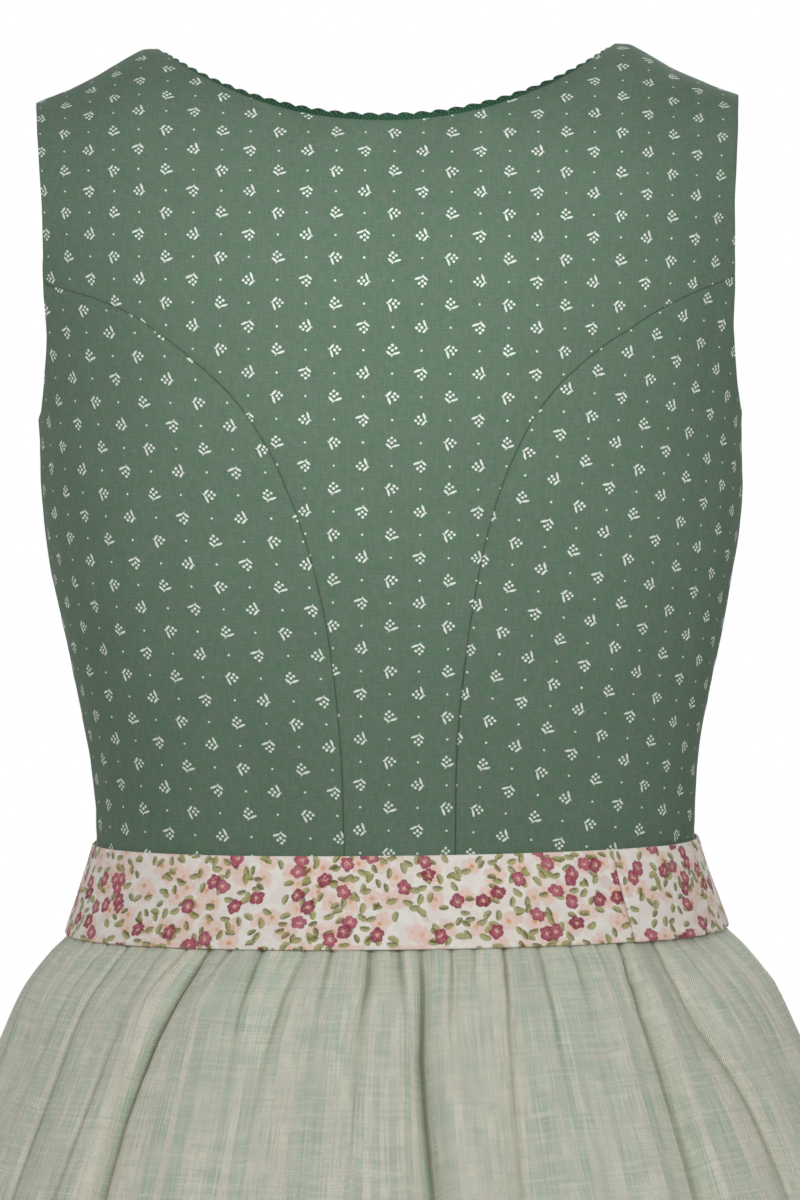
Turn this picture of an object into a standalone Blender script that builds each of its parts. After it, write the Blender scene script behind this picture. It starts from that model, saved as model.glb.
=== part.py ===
"""A worn dirndl: a fitted seven-piece bodice, a gathered skirt and an apron on a broad waistband.

Metres, +Z up, the front of the dress toward -Y, the wearer's left on +X. Z is 0 at the top of the
shoulders, which is where the wearer carries the dress. Every cloth piece is one closed wall.
"""

import math

import bpy
import numpy as np
from mathutils import Vector
from mathutils.geometry import delaunay_2d_cdt

# Walls and seams.
BODICE_WALL = 0.0015
SKIRT_WALL = 0.0010
BAND_WALL = 0.0015
TRIM_WALL = 0.0010
TRIM_HEIGHT = 0.0030
SEAM_GAP = 0.0003
LAYER_GAP = 0.0005
FACET = 0.0220
NECK_FACET = 0.0140

# Heights of the horizontal edges.
ARCH_DROP = 0.130
WAIST_SEAM = 0.3840
BAND_TOP = 0.3645
BAND_BOTTOM = 0.4055
HEM = 1.1000
APRON_HEM = 1.0600

# Shoulders.
RIDGE_DEPTH = 0.004
SHOULDER_SEAM = 0.0125
NECK_HALF = 0.1045
NECK_BACK_DROP = 0.0622
NECK_FRONT_DROP = 0.1400
NECK_BACK_SHAPE = (2.2, 2.0)
NECK_FRONT_SHAPE = (2.6, 2.4)
ROUNDNESS = 2.25

# Sections of the bodice: drop below the shoulder top, half width, back depth, front depth.
BODICE_SECTIONS = (
    (0.0000, 0.1850, 0.1070, 0.1080),
    (0.0500, 0.1800, 0.1070, 0.1110),
    (0.1000, 0.1720, 0.1070, 0.1160),
    (0.1300, 0.1665, 0.1070, 0.1200),
    (0.1700, 0.1615, 0.1052, 0.1285),
    (0.2040, 0.1610, 0.1018, 0.1345),
    (0.2310, 0.1583, 0.0985, 0.1360),
    (0.2540, 0.1541, 0.0955, 0.1335),
    (0.2770, 0.1495, 0.0925, 0.1280),
    (0.3000, 0.1449, 0.0896, 0.1205),
    (0.3230, 0.1404, 0.0871, 0.1120),
    (0.3460, 0.1383, 0.0856, 0.1045),
    (0.3565, 0.1381, 0.0853, 0.1030),
    (0.3645, 0.1380, 0.0856, 0.1028),
    (0.3840, 0.1435, 0.0904, 0.1060),
    (0.4055, 0.1514, 0.0978, 0.1128),
)

# Sections of the skirt: drop, half width, back depth, front depth, share of the fold depth.
SKIRT_SECTIONS = (
    (0.3844, 0.1438, 0.0906, 0.1061, 0.00),
    (0.4055, 0.1514, 0.0978, 0.1128, 0.03),
    (0.4140, 0.1605, 0.1060, 0.1205, 0.10),
    (0.4300, 0.1735, 0.1190, 0.1330, 0.17),
    (0.4600, 0.1880, 0.1350, 0.1490, 0.25),
    (0.5150, 0.2140, 0.1600, 0.1720, 0.34),
    (0.6200, 0.2600, 0.2050, 0.2120, 0.48),
    (0.7700, 0.3180, 0.2660, 0.2680, 0.66),
    (1.1000, 0.4200, 0.3800, 0.3750, 1.00),
)
APRON_TOP = 0.4069

# Half of the shoulder line: distance from the middle, height.
SHOULDER_LINE = (
    (0.0000, 0.0000),
    (0.1100, 0.0000),
    (0.1165, -0.0028),
    (0.1255, -0.0080),
    (0.1310, -0.0112),
    (0.1395, -0.0152),
    (0.1465, -0.0184),
    (0.1530, -0.0210),
    (0.1580, -0.0228),
    (0.1640, -0.0255),
    (0.1900, -0.0390),
)

# Armhole from the shoulder to under the arm: turn from the middle in degrees, drop.
ARMHOLE_BACK = (
    (58.8, 0.0000),
    (58.6, 0.0400),
    (59.6, 0.0810),
    (62.0, 0.1000),
    (64.6, 0.1118),
    (68.0, 0.1300),
    (72.5, 0.1480),
    (80.0, 0.1640),
    (90.0, 0.1710),
)
ARMHOLE_FRONT = (
    (58.8, 0.0000),
    (56.0, 0.0400),
    (53.0, 0.0810),
    (53.5, 0.1000),
    (56.0, 0.1180),
    (61.0, 0.1360),
    (68.5, 0.1540),
    (78.5, 0.1670),
    (90.0, 0.1710),
)
BACK_SEAM_START = 0.1118
FRONT_SEAM_START = 0.1180

# Shaped seams from the armhole to the waist: distance from the middle, drop.
BACK_SEAM_LEFT = (
    (0.1302, 0.1192),
    (0.1053, 0.1288),
    (0.0880, 0.1416),
    (0.0694, 0.1596),
    (0.0546, 0.1820),
    (0.0450, 0.2044),
    (0.0376, 0.2268),
    (0.0321, 0.2492),
    (0.0284, 0.2716),
    (0.0259, 0.2944),
    (0.0242, 0.3168),
    (0.0231, BAND_TOP),
    (0.0229, WAIST_SEAM),
)
BACK_SEAM_RIGHT = (
    (0.1316, 0.1205),
    (0.1069, 0.1304),
    (0.0874, 0.1436),
    (0.0694, 0.1612),
    (0.0562, 0.1832),
    (0.0471, 0.2052),
    (0.0408, 0.2276),
    (0.0363, 0.2500),
    (0.0328, 0.2724),
    (0.0300, 0.2948),
    (0.0280, 0.3176),
    (0.0267, BAND_TOP),
    (0.0264, WAIST_SEAM),
)
FRONT_SEAM = (
    (0.1220, 0.1330),
    (0.1080, 0.1560),
    (0.0965, 0.1850),
    (0.0890, 0.2150),
    (0.0810, 0.2500),
    (0.0720, 0.2900),
    (0.0640, 0.3300),
    (0.0600, BAND_TOP),
    (0.0600, WAIST_SEAM),
)

# Valleys between the skirt's folds: turn from the middle back in degrees at the waist and at the
# hem, depth at the hem.
SKIRT_VALLEYS = (
    (-2.0, -3.5, 0.030),
    (14.5, 15.5, 0.020),
    (31.5, 36.5, 0.036),
    (52.0, 55.0, 0.026),
    (71.0, 73.0, 0.030),
    (90.0, 90.0, 0.024),
    (107.0, 106.0, 0.030),
    (122.0, 121.0, 0.024),
    (141.0, 141.0, 0.033),
    (158.0, 158.5, 0.025),
    (177.0, 176.0, 0.030),
    (193.0, 194.0, 0.023),
    (212.0, 212.0, 0.034),
    (230.0, 230.5, 0.026),
    (251.0, 252.0, 0.031),
    (270.0, 270.0, 0.026),
    (284.0, 285.0, 0.022),
    (297.5, 300.5, 0.032),
    (311.0, 312.5, 0.018),
    (322.4, 325.0, 0.034),
    (333.5, 335.5, 0.014),
    (344.7, 346.5, 0.026),
)
SIDE_VALLEYS = (5, 15)
FOLD_STEPS = 5
FOLD_SHARPNESS = 1.7

# The waistband's ends: turn of the outer end, length of the underlap, both in degrees.
BAND_END = -42.0
BAND_UNDERLAP = 15.0
BAND_STEP = 6.25


def table_value(table, column, at):
    """Smooth value of a table column at one value of its first column."""
    keys = [row[0] for row in table]
    values = [row[column] for row in table]
    at = min(max(at, keys[0]), keys[-1])
    last = len(keys) - 1
    i = min(max(int(np.searchsorted(keys, at)) - 1, 0), last - 1)
    slopes = []
    for j in (i, i + 1):
        low = max(j - 1, 0)
        high = min(j + 1, last)
        slopes.append((values[high] - values[low]) / (keys[high] - keys[low]))
    step = keys[i + 1] - keys[i]
    t = (at - keys[i]) / step
    start = (1 + 2 * t) * (1 - t) ** 2 * values[i] + t * (1 - t) ** 2 * step * slopes[0]
    end = t * t * (3 - 2 * t) * values[i + 1] - t * t * (1 - t) * step * slopes[1]
    return start + end


def signed_power(value, power):
    return math.copysign(abs(value) ** power, value)


def arch(drop):
    """How far down and how far out the shoulder arch has come at this drop, both from 0 to 1."""
    angle = 0.5 * math.pi * min(abs(drop) / ARCH_DROP, 1.0)
    return 1 - math.cos(angle), math.sin(angle)


def nominal(drop):
    """The drop of the section that shapes the sheet here."""
    return ARCH_DROP * arch(drop)[0] if abs(drop) < ARCH_DROP else abs(drop)


def bodice_point(turn, drop):
    """A point of the bodice: turn in degrees from the middle, drop down the back (+) or front (-)."""
    level = nominal(drop)
    width = table_value(BODICE_SECTIONS, 1, level)
    depth = table_value(BODICE_SECTIONS, 2 if drop >= 0 else 3, level)
    depth = depth if drop >= 0 else -depth
    x = width * signed_power(math.sin(math.radians(turn)), 2 / ROUNDNESS)
    across = max(math.cos(math.radians(turn)), 0.0) ** (2 / ROUNDNESS)
    down, out = arch(drop)
    if abs(drop) >= ARCH_DROP:
        return np.array((x, depth * across, -abs(drop)))
    ridge = table_value(SHOULDER_LINE, 1, abs(x))
    y = RIDGE_DEPTH + (depth * across - RIDGE_DEPTH) * out
    return np.array((x, y, ridge - (ARCH_DROP + ridge) * down))


def bodice_normal(turn, drop):
    """Unit normal of the bodice, pointing away from the wearer."""
    low = max(turn - 0.5, -89.9)
    high = min(turn + 0.5, 89.9)
    along = bodice_point(high, drop) - bodice_point(low, drop)
    down = bodice_point(turn, drop + 0.002) - bodice_point(turn, drop - 0.002)
    normal = np.cross(along, down)
    return normal / np.linalg.norm(normal)


def turn_at(x, drop):
    """The turn that puts a point of this drop at this distance from the middle."""
    share = x / table_value(BODICE_SECTIONS, 1, nominal(drop))
    return math.degrees(math.asin(signed_power(share, ROUNDNESS / 2)))


def resampled(points, pitch):
    """A smooth line through (turn, drop) points, cut into even lengths on the bodice."""
    keyed = [(i, *point) for i, point in enumerate(points)]
    fine = []
    for i in range((len(points) - 1) * 12 + 1):
        at = i / 12
        fine.append((table_value(keyed, 1, at), table_value(keyed, 2, at)))
    solid = np.array([bodice_point(*point) for point in fine])
    lengths = np.concatenate([[0], np.cumsum(np.linalg.norm(np.diff(solid, axis=0), axis=1))])
    count = max(int(round(lengths[-1] / pitch)), 1)
    even = np.linspace(0, lengths[-1], count + 1)
    turns = np.interp(even, lengths, [point[0] for point in fine])
    drops = np.interp(even, lengths, [point[1] for point in fine])
    return list(zip(turns, drops))


def neckline(back, start, end, pitch):
    """The neckline from one share of its quarter arc to another, 0 at the shoulder, 1 in the middle."""
    shape = NECK_BACK_SHAPE if back else NECK_FRONT_SHAPE
    depth = NECK_BACK_DROP if back else -NECK_FRONT_DROP
    points = []
    for i in range(9):
        angle = 0.5 * math.pi * (start + (end - start) * i / 8)
        x = NECK_HALF * max(math.cos(angle), 0.0) ** (2 / shape[0])
        drop = depth * math.sin(angle) ** (2 / shape[1])
        points.append((turn_at(x, drop), drop))
    return resampled(points, pitch)


def neck_share(drop):
    """The share of the front neck arc that lies at this drop."""
    value = (drop / NECK_FRONT_DROP) ** (NECK_FRONT_SHAPE[1] / 2)
    return math.asin(value) / (0.5 * math.pi)


def armhole(back, start, end, pitch):
    """The armhole between two drops, from the shoulder down."""
    table = ARMHOLE_BACK if back else ARMHOLE_FRONT
    sign = 1 if back else -1
    keyed = [(drop, turn) for turn, drop in table]
    inner = [drop for turn, drop in table if start < drop < end]
    points = [(table_value(keyed, 1, drop), sign * drop) for drop in (start, *inner, end)]
    return resampled(points, pitch)


def seam(back, table):
    """A shaped seam from the armhole to the waist."""
    start = BACK_SEAM_START if back else FRONT_SEAM_START
    first = armhole(back, 0.0, start, FACET)[-1]
    sign = 1 if back else -1
    points = [first] + [(turn_at(x, drop), sign * drop) for x, drop in table]
    return resampled(points[:-1], FACET)[:-1] + resampled(points[-2:], FACET)


def across(first, last):
    """Points of a level or straight edge between two (turn, drop) points."""
    count = max(int(round(np.linalg.norm(bodice_point(*first) - bodice_point(*last)) / FACET)), 1)
    return [
        (first[0] + (last[0] - first[0]) * i / count, first[1] + (last[1] - first[1]) * i / count)
        for i in range(count + 1)
    ]


def mirrored(points):
    return [(-turn, drop) for turn, drop in reversed(points)]


def joined(*runs):
    """One closed outline from runs that share their end points."""
    outline = []
    for run in runs:
        outline.extend(run[:-1])
    return outline


def side_line():
    upper = resampled([(90.0, 0.1710), (90.0, 0.27), (90.0, BAND_TOP)], FACET)
    return upper[:-1] + resampled([(90.0, BAND_TOP), (90.0, WAIST_SEAM)], FACET)


def on_front(points):
    return [(turn, -abs(drop)) for turn, drop in points]


def back_centre_half(table):
    """The edges of one half of the back piece, from the middle of the neck to that of the waist."""
    neck_front = neckline(False, 0.0, neck_share(SHOULDER_SEAM), NECK_FACET)
    arm_front = armhole(False, 0.0, SHOULDER_SEAM, FACET)
    down = seam(True, table)
    return [
        neckline(True, 0.0, 1.0, NECK_FACET)[::-1],
        neck_front,
        across(neck_front[-1], arm_front[-1]),
        arm_front[::-1],
        armhole(True, 0.0, BACK_SEAM_START, FACET),
        down,
        across(down[-1], (0.0, WAIST_SEAM)),
    ]


def back_centre_outline():
    right = back_centre_half(BACK_SEAM_RIGHT)
    return joined(*back_centre_half(BACK_SEAM_LEFT), *[mirrored(run) for run in reversed(right)])


def back_side_outline(table):
    down = seam(True, table)
    side = side_line()
    under = armhole(True, BACK_SEAM_START, 0.1710, FACET)
    return joined(under, side, across(side[-1], down[-1]), down[::-1])


def bodice_outlines():
    """Each bodice piece as a closed outline of (turn, drop) points."""
    down = seam(False, FRONT_SEAM)
    under_front = armhole(False, FRONT_SEAM_START, 0.1710, FACET)
    side = on_front(side_line())
    waist = across(side[-1], down[-1])
    front_side = joined(under_front, side, waist, down[::-1])

    neck = neckline(False, neck_share(SHOULDER_SEAM), 1.0, NECK_FACET)
    middle = across((0.0, -NECK_FRONT_DROP), (0.0, -WAIST_SEAM))
    arm = armhole(False, SHOULDER_SEAM, FRONT_SEAM_START, FACET)
    shoulder = across(arm[0], neck[0])
    waist = across(middle[-1], down[-1])
    front_centre = joined(neck, middle, waist, down[::-1], arm[::-1], shoulder)
    return {
        "back_centre": back_centre_outline(),
        "back_side_left": back_side_outline(BACK_SEAM_LEFT),
        "back_side_right": mirrored(back_side_outline(BACK_SEAM_RIGHT)),
        "front_side_left": front_side,
        "front_side_right": mirrored(front_side),
        "front_centre_left": front_centre,
        "front_centre_right": mirrored(front_centre),
    }


def flat(point):
    """A (turn, drop) point on a plane that keeps the cloth's proportions roughly."""
    return Vector((math.radians(point[0]) * 0.150, point[1] * 1.15))


def unflat(point):
    return math.degrees(point[0] / 0.150), point[1] / 1.15


def inside(point, outline):
    hit = False
    for a, b in zip(outline, outline[1:] + outline[:1]):
        if (a[1] > point[1]) != (b[1] > point[1]):
            if point[0] < (b[0] - a[0]) * (point[1] - a[1]) / (b[1] - a[1]) + a[0]:
                hit = not hit
    return hit


def clearance(point, outline):
    best = 1.0
    for a, b in zip(outline, outline[1:] + outline[:1]):
        edge = b - a
        t = min(max((point - a).dot(edge) / max(edge.length_squared, 1e-12), 0), 1)
        best = min(best, (point - a - edge * t).length)
    return best


def panel_mesh(outline):
    """Points and triangles of a piece in (turn, drop), with even points inside the outline."""
    edge = [flat(point) for point in outline]
    low = [min(p[k] for p in edge) for k in (0, 1)]
    high = [max(p[k] for p in edge) for k in (0, 1)]
    points = list(edge)
    waist = flat((0.0, math.copysign(BAND_TOP, low[1] + high[1])))[1]
    rise = FACET * 0.9
    first = math.floor((low[1] - waist) / rise)
    last = math.ceil((high[1] - waist) / rise)
    columns = int((high[0] - low[0]) / FACET) + 2
    for row in range(first, last + 1):
        for column in range(columns):
            x = low[0] + (column + 0.5 * (row % 2)) * FACET
            candidate = Vector((x, waist + row * rise))
            least = 0.35 if row == 0 else 0.62
            if inside(candidate, edge) and clearance(candidate, edge) > least * FACET:
                points.append(candidate)
    ring = list(range(len(edge)))
    solved = delaunay_2d_cdt(points, [], [ring], 1, 1e-7)
    return [unflat(p) for p in solved[0]], [tuple(face) for face in solved[2]]


def rim_edges(triangles):
    """The directed edges that only one triangle uses."""
    directed = set()
    for a, b, c in triangles:
        directed.update(((a, b), (b, c), (c, a)))
    return [(a, b) for a, b in directed if (b, a) not in directed]


def add_solid(name, points, faces, colour, roughness=0.85):
    volume = 0.0
    for face in faces:
        for b, c in zip(face[1:], face[2:]):
            volume += np.dot(points[face[0]], np.cross(points[b], points[c]))
    if volume < 0:
        faces = [tuple(reversed(face)) for face in faces]
    mesh = bpy.data.meshes.new(name)
    mesh.from_pydata([tuple(p) for p in points], [], faces)
    mesh.validate()
    body = bpy.data.objects.new(name, mesh)
    bpy.context.scene.collection.objects.link(body)
    material = bpy.data.materials.new(name)
    material.use_nodes = True
    shader = material.node_tree.nodes["Principled BSDF"]
    shader.inputs["Base Color"].default_value = (*colour, 1)
    shader.inputs["Roughness"].default_value = roughness
    mesh.materials.append(material)
    return body


def add_wall(name, outer, normals, triangles, wall, colour):
    """A closed wall: the triangles outside, the same ones turned inward, and a rim between."""
    count = len(outer)
    inner = [p - n * wall for p, n in zip(outer, normals)]
    a, b, c = triangles[len(triangles) // 2]
    facing = np.cross(outer[b] - outer[a], outer[c] - outer[a]).dot(normals[a])
    if facing < 0:
        triangles = [(a, c, b) for a, b, c in triangles]
    faces = list(triangles)
    faces += [(a + count, c + count, b + count) for a, b, c in triangles]
    faces += [(b, a, a + count, b + count) for a, b in rim_edges(triangles)]
    return add_solid(name, [*outer, *inner], faces, colour)


def drawn_in(points, normals, triangles, amount):
    """The points with each rim point moved into the piece, so that a seam keeps its gap."""
    a, b, c = triangles[len(triangles) // 2]
    turned = np.cross(points[b] - points[a], points[c] - points[a]).dot(normals[a]) < 0
    pulls = {}
    for a, b in rim_edges(triangles):
        edge = points[b] - points[a]
        edge = edge / np.linalg.norm(edge)
        for i in (a, b):
            inward = np.cross(normals[i], edge)
            inward = -inward if turned else inward
            pulls.setdefault(i, []).append(inward / np.linalg.norm(inward))
    moved = list(points)
    for i, directions in pulls.items():
        total = sum(directions)
        total = total / np.linalg.norm(total)
        reach = amount / max(total.dot(directions[0]), 0.4)
        moved[i] = points[i] + total * reach
    return moved


def add_bodice():
    for name, outline in bodice_outlines().items():
        places, triangles = panel_mesh(outline)
        points = [bodice_point(*place) for place in places]
        normals = [bodice_normal(*place) for place in places]
        points = drawn_in(points, normals, triangles, SEAM_GAP / 2)
        add_wall(name, points, normals, triangles, BODICE_WALL, (0.115, 0.186, 0.127))


def add_strip(name, rows, colour):
    """A closed strip from rows of four corners, capped at both ends."""
    points = [corner for row in rows for corner in row]
    faces = []
    for i in range(len(rows) - 1):
        for k in range(4):
            a = 4 * i + k
            b = 4 * i + (k + 1) % 4
            faces.append((a, a + 4, b + 4, b))
    faces.append((0, 1, 2, 3))
    end = 4 * (len(rows) - 1)
    faces.append((end + 3, end + 2, end + 1, end))
    return add_solid(name, points, faces, colour)


def add_neck_trim():
    """The scalloped braid that stands above the neck edge, split at the middle front."""
    share = neck_share(SHOULDER_SEAM)
    front = neckline(False, 0.0, share, NECK_FACET)[:-1] + neckline(False, share, 1.0, NECK_FACET)
    back = neckline(True, 0.0, 1.0, NECK_FACET)
    left = front[::-1][:-1] + back[:-1]
    places = left + [back[-1]] + mirrored(left)
    points = [bodice_point(*place) for place in places]
    rows = []
    for i, place in enumerate(places):
        normal = bodice_normal(*place)
        along = points[min(i + 1, len(points) - 1)] - points[max(i - 1, 0)]
        if i in (0, len(points) - 1):
            along = np.array((1.0, 0.0, 0.0))
        outward = np.cross(along, normal)
        outward = outward / np.linalg.norm(outward)
        centre = np.array((0.0, 0.0, 0.06)) - points[i]
        outward = outward if outward.dot(centre) > 0 else -outward
        low = points[i] + outward * SEAM_GAP - normal * 0.00025
        if i in (0, len(points) - 1):
            low = low + np.array((SEAM_GAP / 2 if i == 0 else -SEAM_GAP / 2, 0.0, 0.0))
        high = low + outward * TRIM_HEIGHT
        rows.append((low, low - normal * TRIM_WALL, high - normal * TRIM_WALL, high))
    add_strip("neck_rickrack", rows, (0.014, 0.083, 0.040))


def section(table, turn, drop):
    """Point and flat outward direction of a section; turn goes round from the middle back."""
    angle = math.radians(turn)
    width = table_value(table, 1, drop)
    depth = table_value(table, 2 if math.cos(angle) >= 0 else 3, drop)
    s = signed_power(math.sin(angle), 2 / ROUNDNESS)
    c = signed_power(math.cos(angle), 2 / ROUNDNESS)
    outward = np.array(
        (signed_power(s, ROUNDNESS - 1) / width, signed_power(c, ROUNDNESS - 1) / depth, 0.0)
    )
    return np.array((width * s, depth * c, -drop)), outward / np.linalg.norm(outward)


def add_waistband():
    """The band round the waist, its outer end lying over the underlap at the right back."""
    start = BAND_END - BAND_UNDERLAP
    count = int((360 + BAND_UNDERLAP) / BAND_STEP)
    rows = []
    for i in range(count + 1):
        turn = start + BAND_STEP * i
        left = 360 + BAND_UNDERLAP - BAND_STEP * i
        over = min(max((BAND_UNDERLAP + 20 - left) / 20, 0), 1)
        inner = LAYER_GAP + over * (BAND_WALL + SEAM_GAP)
        corners = []
        for drop, offset in (
            (BAND_TOP, inner + BAND_WALL),
            (BAND_TOP, inner),
            (BAND_BOTTOM, inner),
            (BAND_BOTTOM, inner + BAND_WALL),
        ):
            point, outward = section(BODICE_SECTIONS, turn, drop)
            corners.append(point + outward * offset)
        rows.append(corners)
    add_strip("apron_waistband", rows, (0.616, 0.521, 0.440))


def fold_columns(share):
    """Turn, phase between two valleys and depth between them, for every column at a fold share."""
    columns = []
    for i, (waist, hem, depth) in enumerate(SKIRT_VALLEYS):
        next_waist, next_hem, next_depth = SKIRT_VALLEYS[(i + 1) % len(SKIRT_VALLEYS)]
        turn = waist + (hem - waist) * share
        after = next_waist + (next_hem - next_waist) * share
        after = after if after > turn else after + 360
        for k in range(FOLD_STEPS):
            phase = k / FOLD_STEPS
            columns.append((turn + (after - turn) * phase, phase, depth + (next_depth - depth) * phase))
    return columns


def skirt_grid():
    """The folded skirt as a closed grid of points with normals, one row per section."""
    rows = []
    for drop, _, _, _, share in SKIRT_SECTIONS:
        ring = []
        for turn, phase, depth in fold_columns(share):
            point, outward = section(SKIRT_SECTIONS, turn, drop)
            dip = depth * share * abs(math.cos(math.pi * phase)) ** FOLD_SHARPNESS
            ring.append(point - outward * dip)
        rows.append(ring)
    grid = np.array(rows)
    along = np.roll(grid, -1, axis=1) - np.roll(grid, 1, axis=1)
    down = np.empty_like(grid)
    down[1:-1] = grid[2:] - grid[:-2]
    down[0] = grid[1] - grid[0]
    down[-1] = grid[-1] - grid[-2]
    normals = np.cross(along, down)
    normals /= np.linalg.norm(normals, axis=2, keepdims=True)
    outward = np.sign((normals * (grid * (1, 1, 0))).sum())
    return grid, normals * outward


def add_grid_wall(name, outer, normals, wall, colour):
    rows, columns = outer.shape[:2]
    triangles = []
    for i in range(rows - 1):
        for j in range(columns - 1):
            a = i * columns + j
            b = a + columns
            triangles.extend(((a, b, b + 1), (a, b + 1, a + 1)))
    flat_normals = list(normals.reshape(-1, 3))
    add_wall(name, list(outer.reshape(-1, 3)), flat_normals, triangles, wall, colour)


def add_skirt():
    grid, normals = skirt_grid()
    count = grid.shape[1]
    left, right = (valley * FOLD_STEPS for valley in SIDE_VALLEYS)
    for name, first, last in (
        ("skirt_back", right - count, left),
        ("skirt_front", left, right),
    ):
        columns = [k % count for k in range(first, last + 1)]
        outer = grid[:, columns].copy()
        along = outer[:, 1] - outer[:, 0]
        outer[:, 0] += along / np.linalg.norm(along, axis=1, keepdims=True) * SEAM_GAP / 2
        along = outer[:, -2] - outer[:, -1]
        outer[:, -1] += along / np.linalg.norm(along, axis=1, keepdims=True) * SEAM_GAP / 2
        add_grid_wall(name, outer, normals[:, columns], SKIRT_WALL, (0.440, 0.462, 0.376))


def add_apron():
    """The apron hangs on the folds of the skirt, so it is the skirt's own form moved out."""
    grid, normals = skirt_grid()
    first = SIDE_VALLEYS[0] * FOLD_STEPS + 1
    last = SIDE_VALLEYS[1] * FOLD_STEPS - 1
    drops = [row[0] for row in SKIRT_SECTIONS]
    rows = []
    row_normals = []
    for i, drop in enumerate(drops):
        if drop < BAND_BOTTOM:
            continue
        at = APRON_TOP if drop == BAND_BOTTOM else min(drop, APRON_HEM)
        low = i if drop == BAND_BOTTOM else i - 1
        t = (at - drops[low]) / (drops[low + 1] - drops[low])
        rows.append(grid[low] * (1 - t) + grid[low + 1] * t)
        blend = normals[low] * (1 - t) + normals[low + 1] * t
        row_normals.append(blend / np.linalg.norm(blend, axis=1, keepdims=True))
    points = np.array(rows)[:, first : last + 1]
    directions = np.array(row_normals)[:, first : last + 1]
    outer = points + directions * (LAYER_GAP + SKIRT_WALL)
    add_grid_wall("apron_skirt", outer, directions, SKIRT_WALL, (0.616, 0.521, 0.440))


def main():
    for existing in list(bpy.data.objects):
        bpy.data.objects.remove(existing, do_unlink=True)
    add_bodice()
    add_neck_trim()
    add_waistband()
    add_skirt()
    add_apron()


main()
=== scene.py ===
"""The looks of a worn dirndl: a printed bodice, a rickrack braid, a flowered band and apron, a skirt.

Metres, +Z up. The back of the dress is toward +Y and the wearer's left is on +X. Z is 0 at the top
of the shoulders. A point of the cloth is a turn round the dress in degrees, 0 in the middle of the
back, and a drop below the shoulders, which is negative on the front of the bodice.
"""

import math

import bpy
import numpy as np
from mathutils import Euler, Matrix, Vector
from mathutils.geometry import delaunay_2d_cdt


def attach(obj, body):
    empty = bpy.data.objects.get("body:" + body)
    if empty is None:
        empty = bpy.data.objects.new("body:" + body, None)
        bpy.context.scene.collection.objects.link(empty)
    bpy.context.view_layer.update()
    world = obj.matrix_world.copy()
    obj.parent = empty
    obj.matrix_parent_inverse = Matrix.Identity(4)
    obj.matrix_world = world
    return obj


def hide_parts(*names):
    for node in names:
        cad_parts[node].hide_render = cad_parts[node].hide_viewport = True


bl_info = {
    "name": "Dirndl Cloth",
    "version": (1, 0, 0),
    "blender": (4, 5, 0),
    "location": "3D View > Sidebar > Dirndl",
    "description": "Builds the cloth of a worn dirndl round its packed frame",
    "category": "Add Mesh",
}

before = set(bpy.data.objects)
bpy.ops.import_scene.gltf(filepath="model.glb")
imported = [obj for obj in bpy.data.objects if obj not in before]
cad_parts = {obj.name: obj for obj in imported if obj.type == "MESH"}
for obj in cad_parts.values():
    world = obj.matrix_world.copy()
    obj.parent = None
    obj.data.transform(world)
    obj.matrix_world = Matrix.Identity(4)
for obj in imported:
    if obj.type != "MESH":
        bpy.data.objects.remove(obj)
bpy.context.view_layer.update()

MM = 0.001

# Walls and seams.
BODICE_WALL = 0.0015
SKIRT_WALL = 0.0010
BAND_WALL = 0.0015
SEAM_GAP = 0.0003
LAYER_GAP = 0.0005
SEAM_LINE = -0.00002
THREAD_LIFT = 0.00006

# Rounded edges: angles of their points in degrees, and radii.
RIM_ANGLES = (0.0, 35.0, 65.0, 90.0)
BODICE_RIM = 0.00045
SKIRT_RIM = 0.0004
BAND_RIM = 0.0006

# Heights of the horizontal edges.
ARCH_DROP = 0.130
WAIST_SEAM = 0.3840
BAND_TOP = 0.3645
BAND_BOTTOM = 0.4055
HEM = 1.1000
APRON_HEM = 1.0600
APRON_TOP = 0.4069

# Shoulders.
RIDGE_DEPTH = 0.004
SHOULDER_SEAM = 0.0125
NECK_HALF = 0.1045
NECK_BACK_DROP = 0.0622
NECK_FRONT_DROP = 0.1400
NECK_BACK_SHAPE = (2.2, 2.0)
NECK_FRONT_SHAPE = (2.6, 2.4)
ROUNDNESS = 2.25

# Sections of the bodice: drop, half width, back depth, front depth.
BODICE_SECTIONS = (
    (0.0000, 0.1850, 0.1070, 0.1080), (0.0500, 0.1800, 0.1070, 0.1110),
    (0.1000, 0.1720, 0.1070, 0.1160), (0.1300, 0.1665, 0.1070, 0.1200),
    (0.1700, 0.1615, 0.1052, 0.1285), (0.2040, 0.1610, 0.1018, 0.1345),
    (0.2310, 0.1583, 0.0985, 0.1360), (0.2540, 0.1541, 0.0955, 0.1335),
    (0.2770, 0.1495, 0.0925, 0.1280), (0.3000, 0.1449, 0.0896, 0.1205),
    (0.3230, 0.1404, 0.0871, 0.1120), (0.3460, 0.1383, 0.0856, 0.1045),
    (0.3565, 0.1381, 0.0853, 0.1030), (0.3645, 0.1380, 0.0856, 0.1028),
    (0.3840, 0.1435, 0.0904, 0.1060), (0.4055, 0.1514, 0.0978, 0.1128),
)

# Sections of the skirt: drop, half width, back depth, front depth, share of the fold depth.
SKIRT_SECTIONS = (
    (0.3844, 0.1438, 0.0906, 0.1061, 0.00), (0.4055, 0.1514, 0.0978, 0.1128, 0.03),
    (0.4140, 0.1605, 0.1060, 0.1205, 0.10), (0.4300, 0.1735, 0.1190, 0.1330, 0.17),
    (0.4600, 0.1880, 0.1350, 0.1490, 0.25), (0.5150, 0.2140, 0.1600, 0.1720, 0.34),
    (0.6200, 0.2600, 0.2050, 0.2120, 0.48), (0.7700, 0.3180, 0.2660, 0.2680, 0.66),
    (1.1000, 0.4200, 0.3800, 0.3750, 1.00),
)

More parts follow.
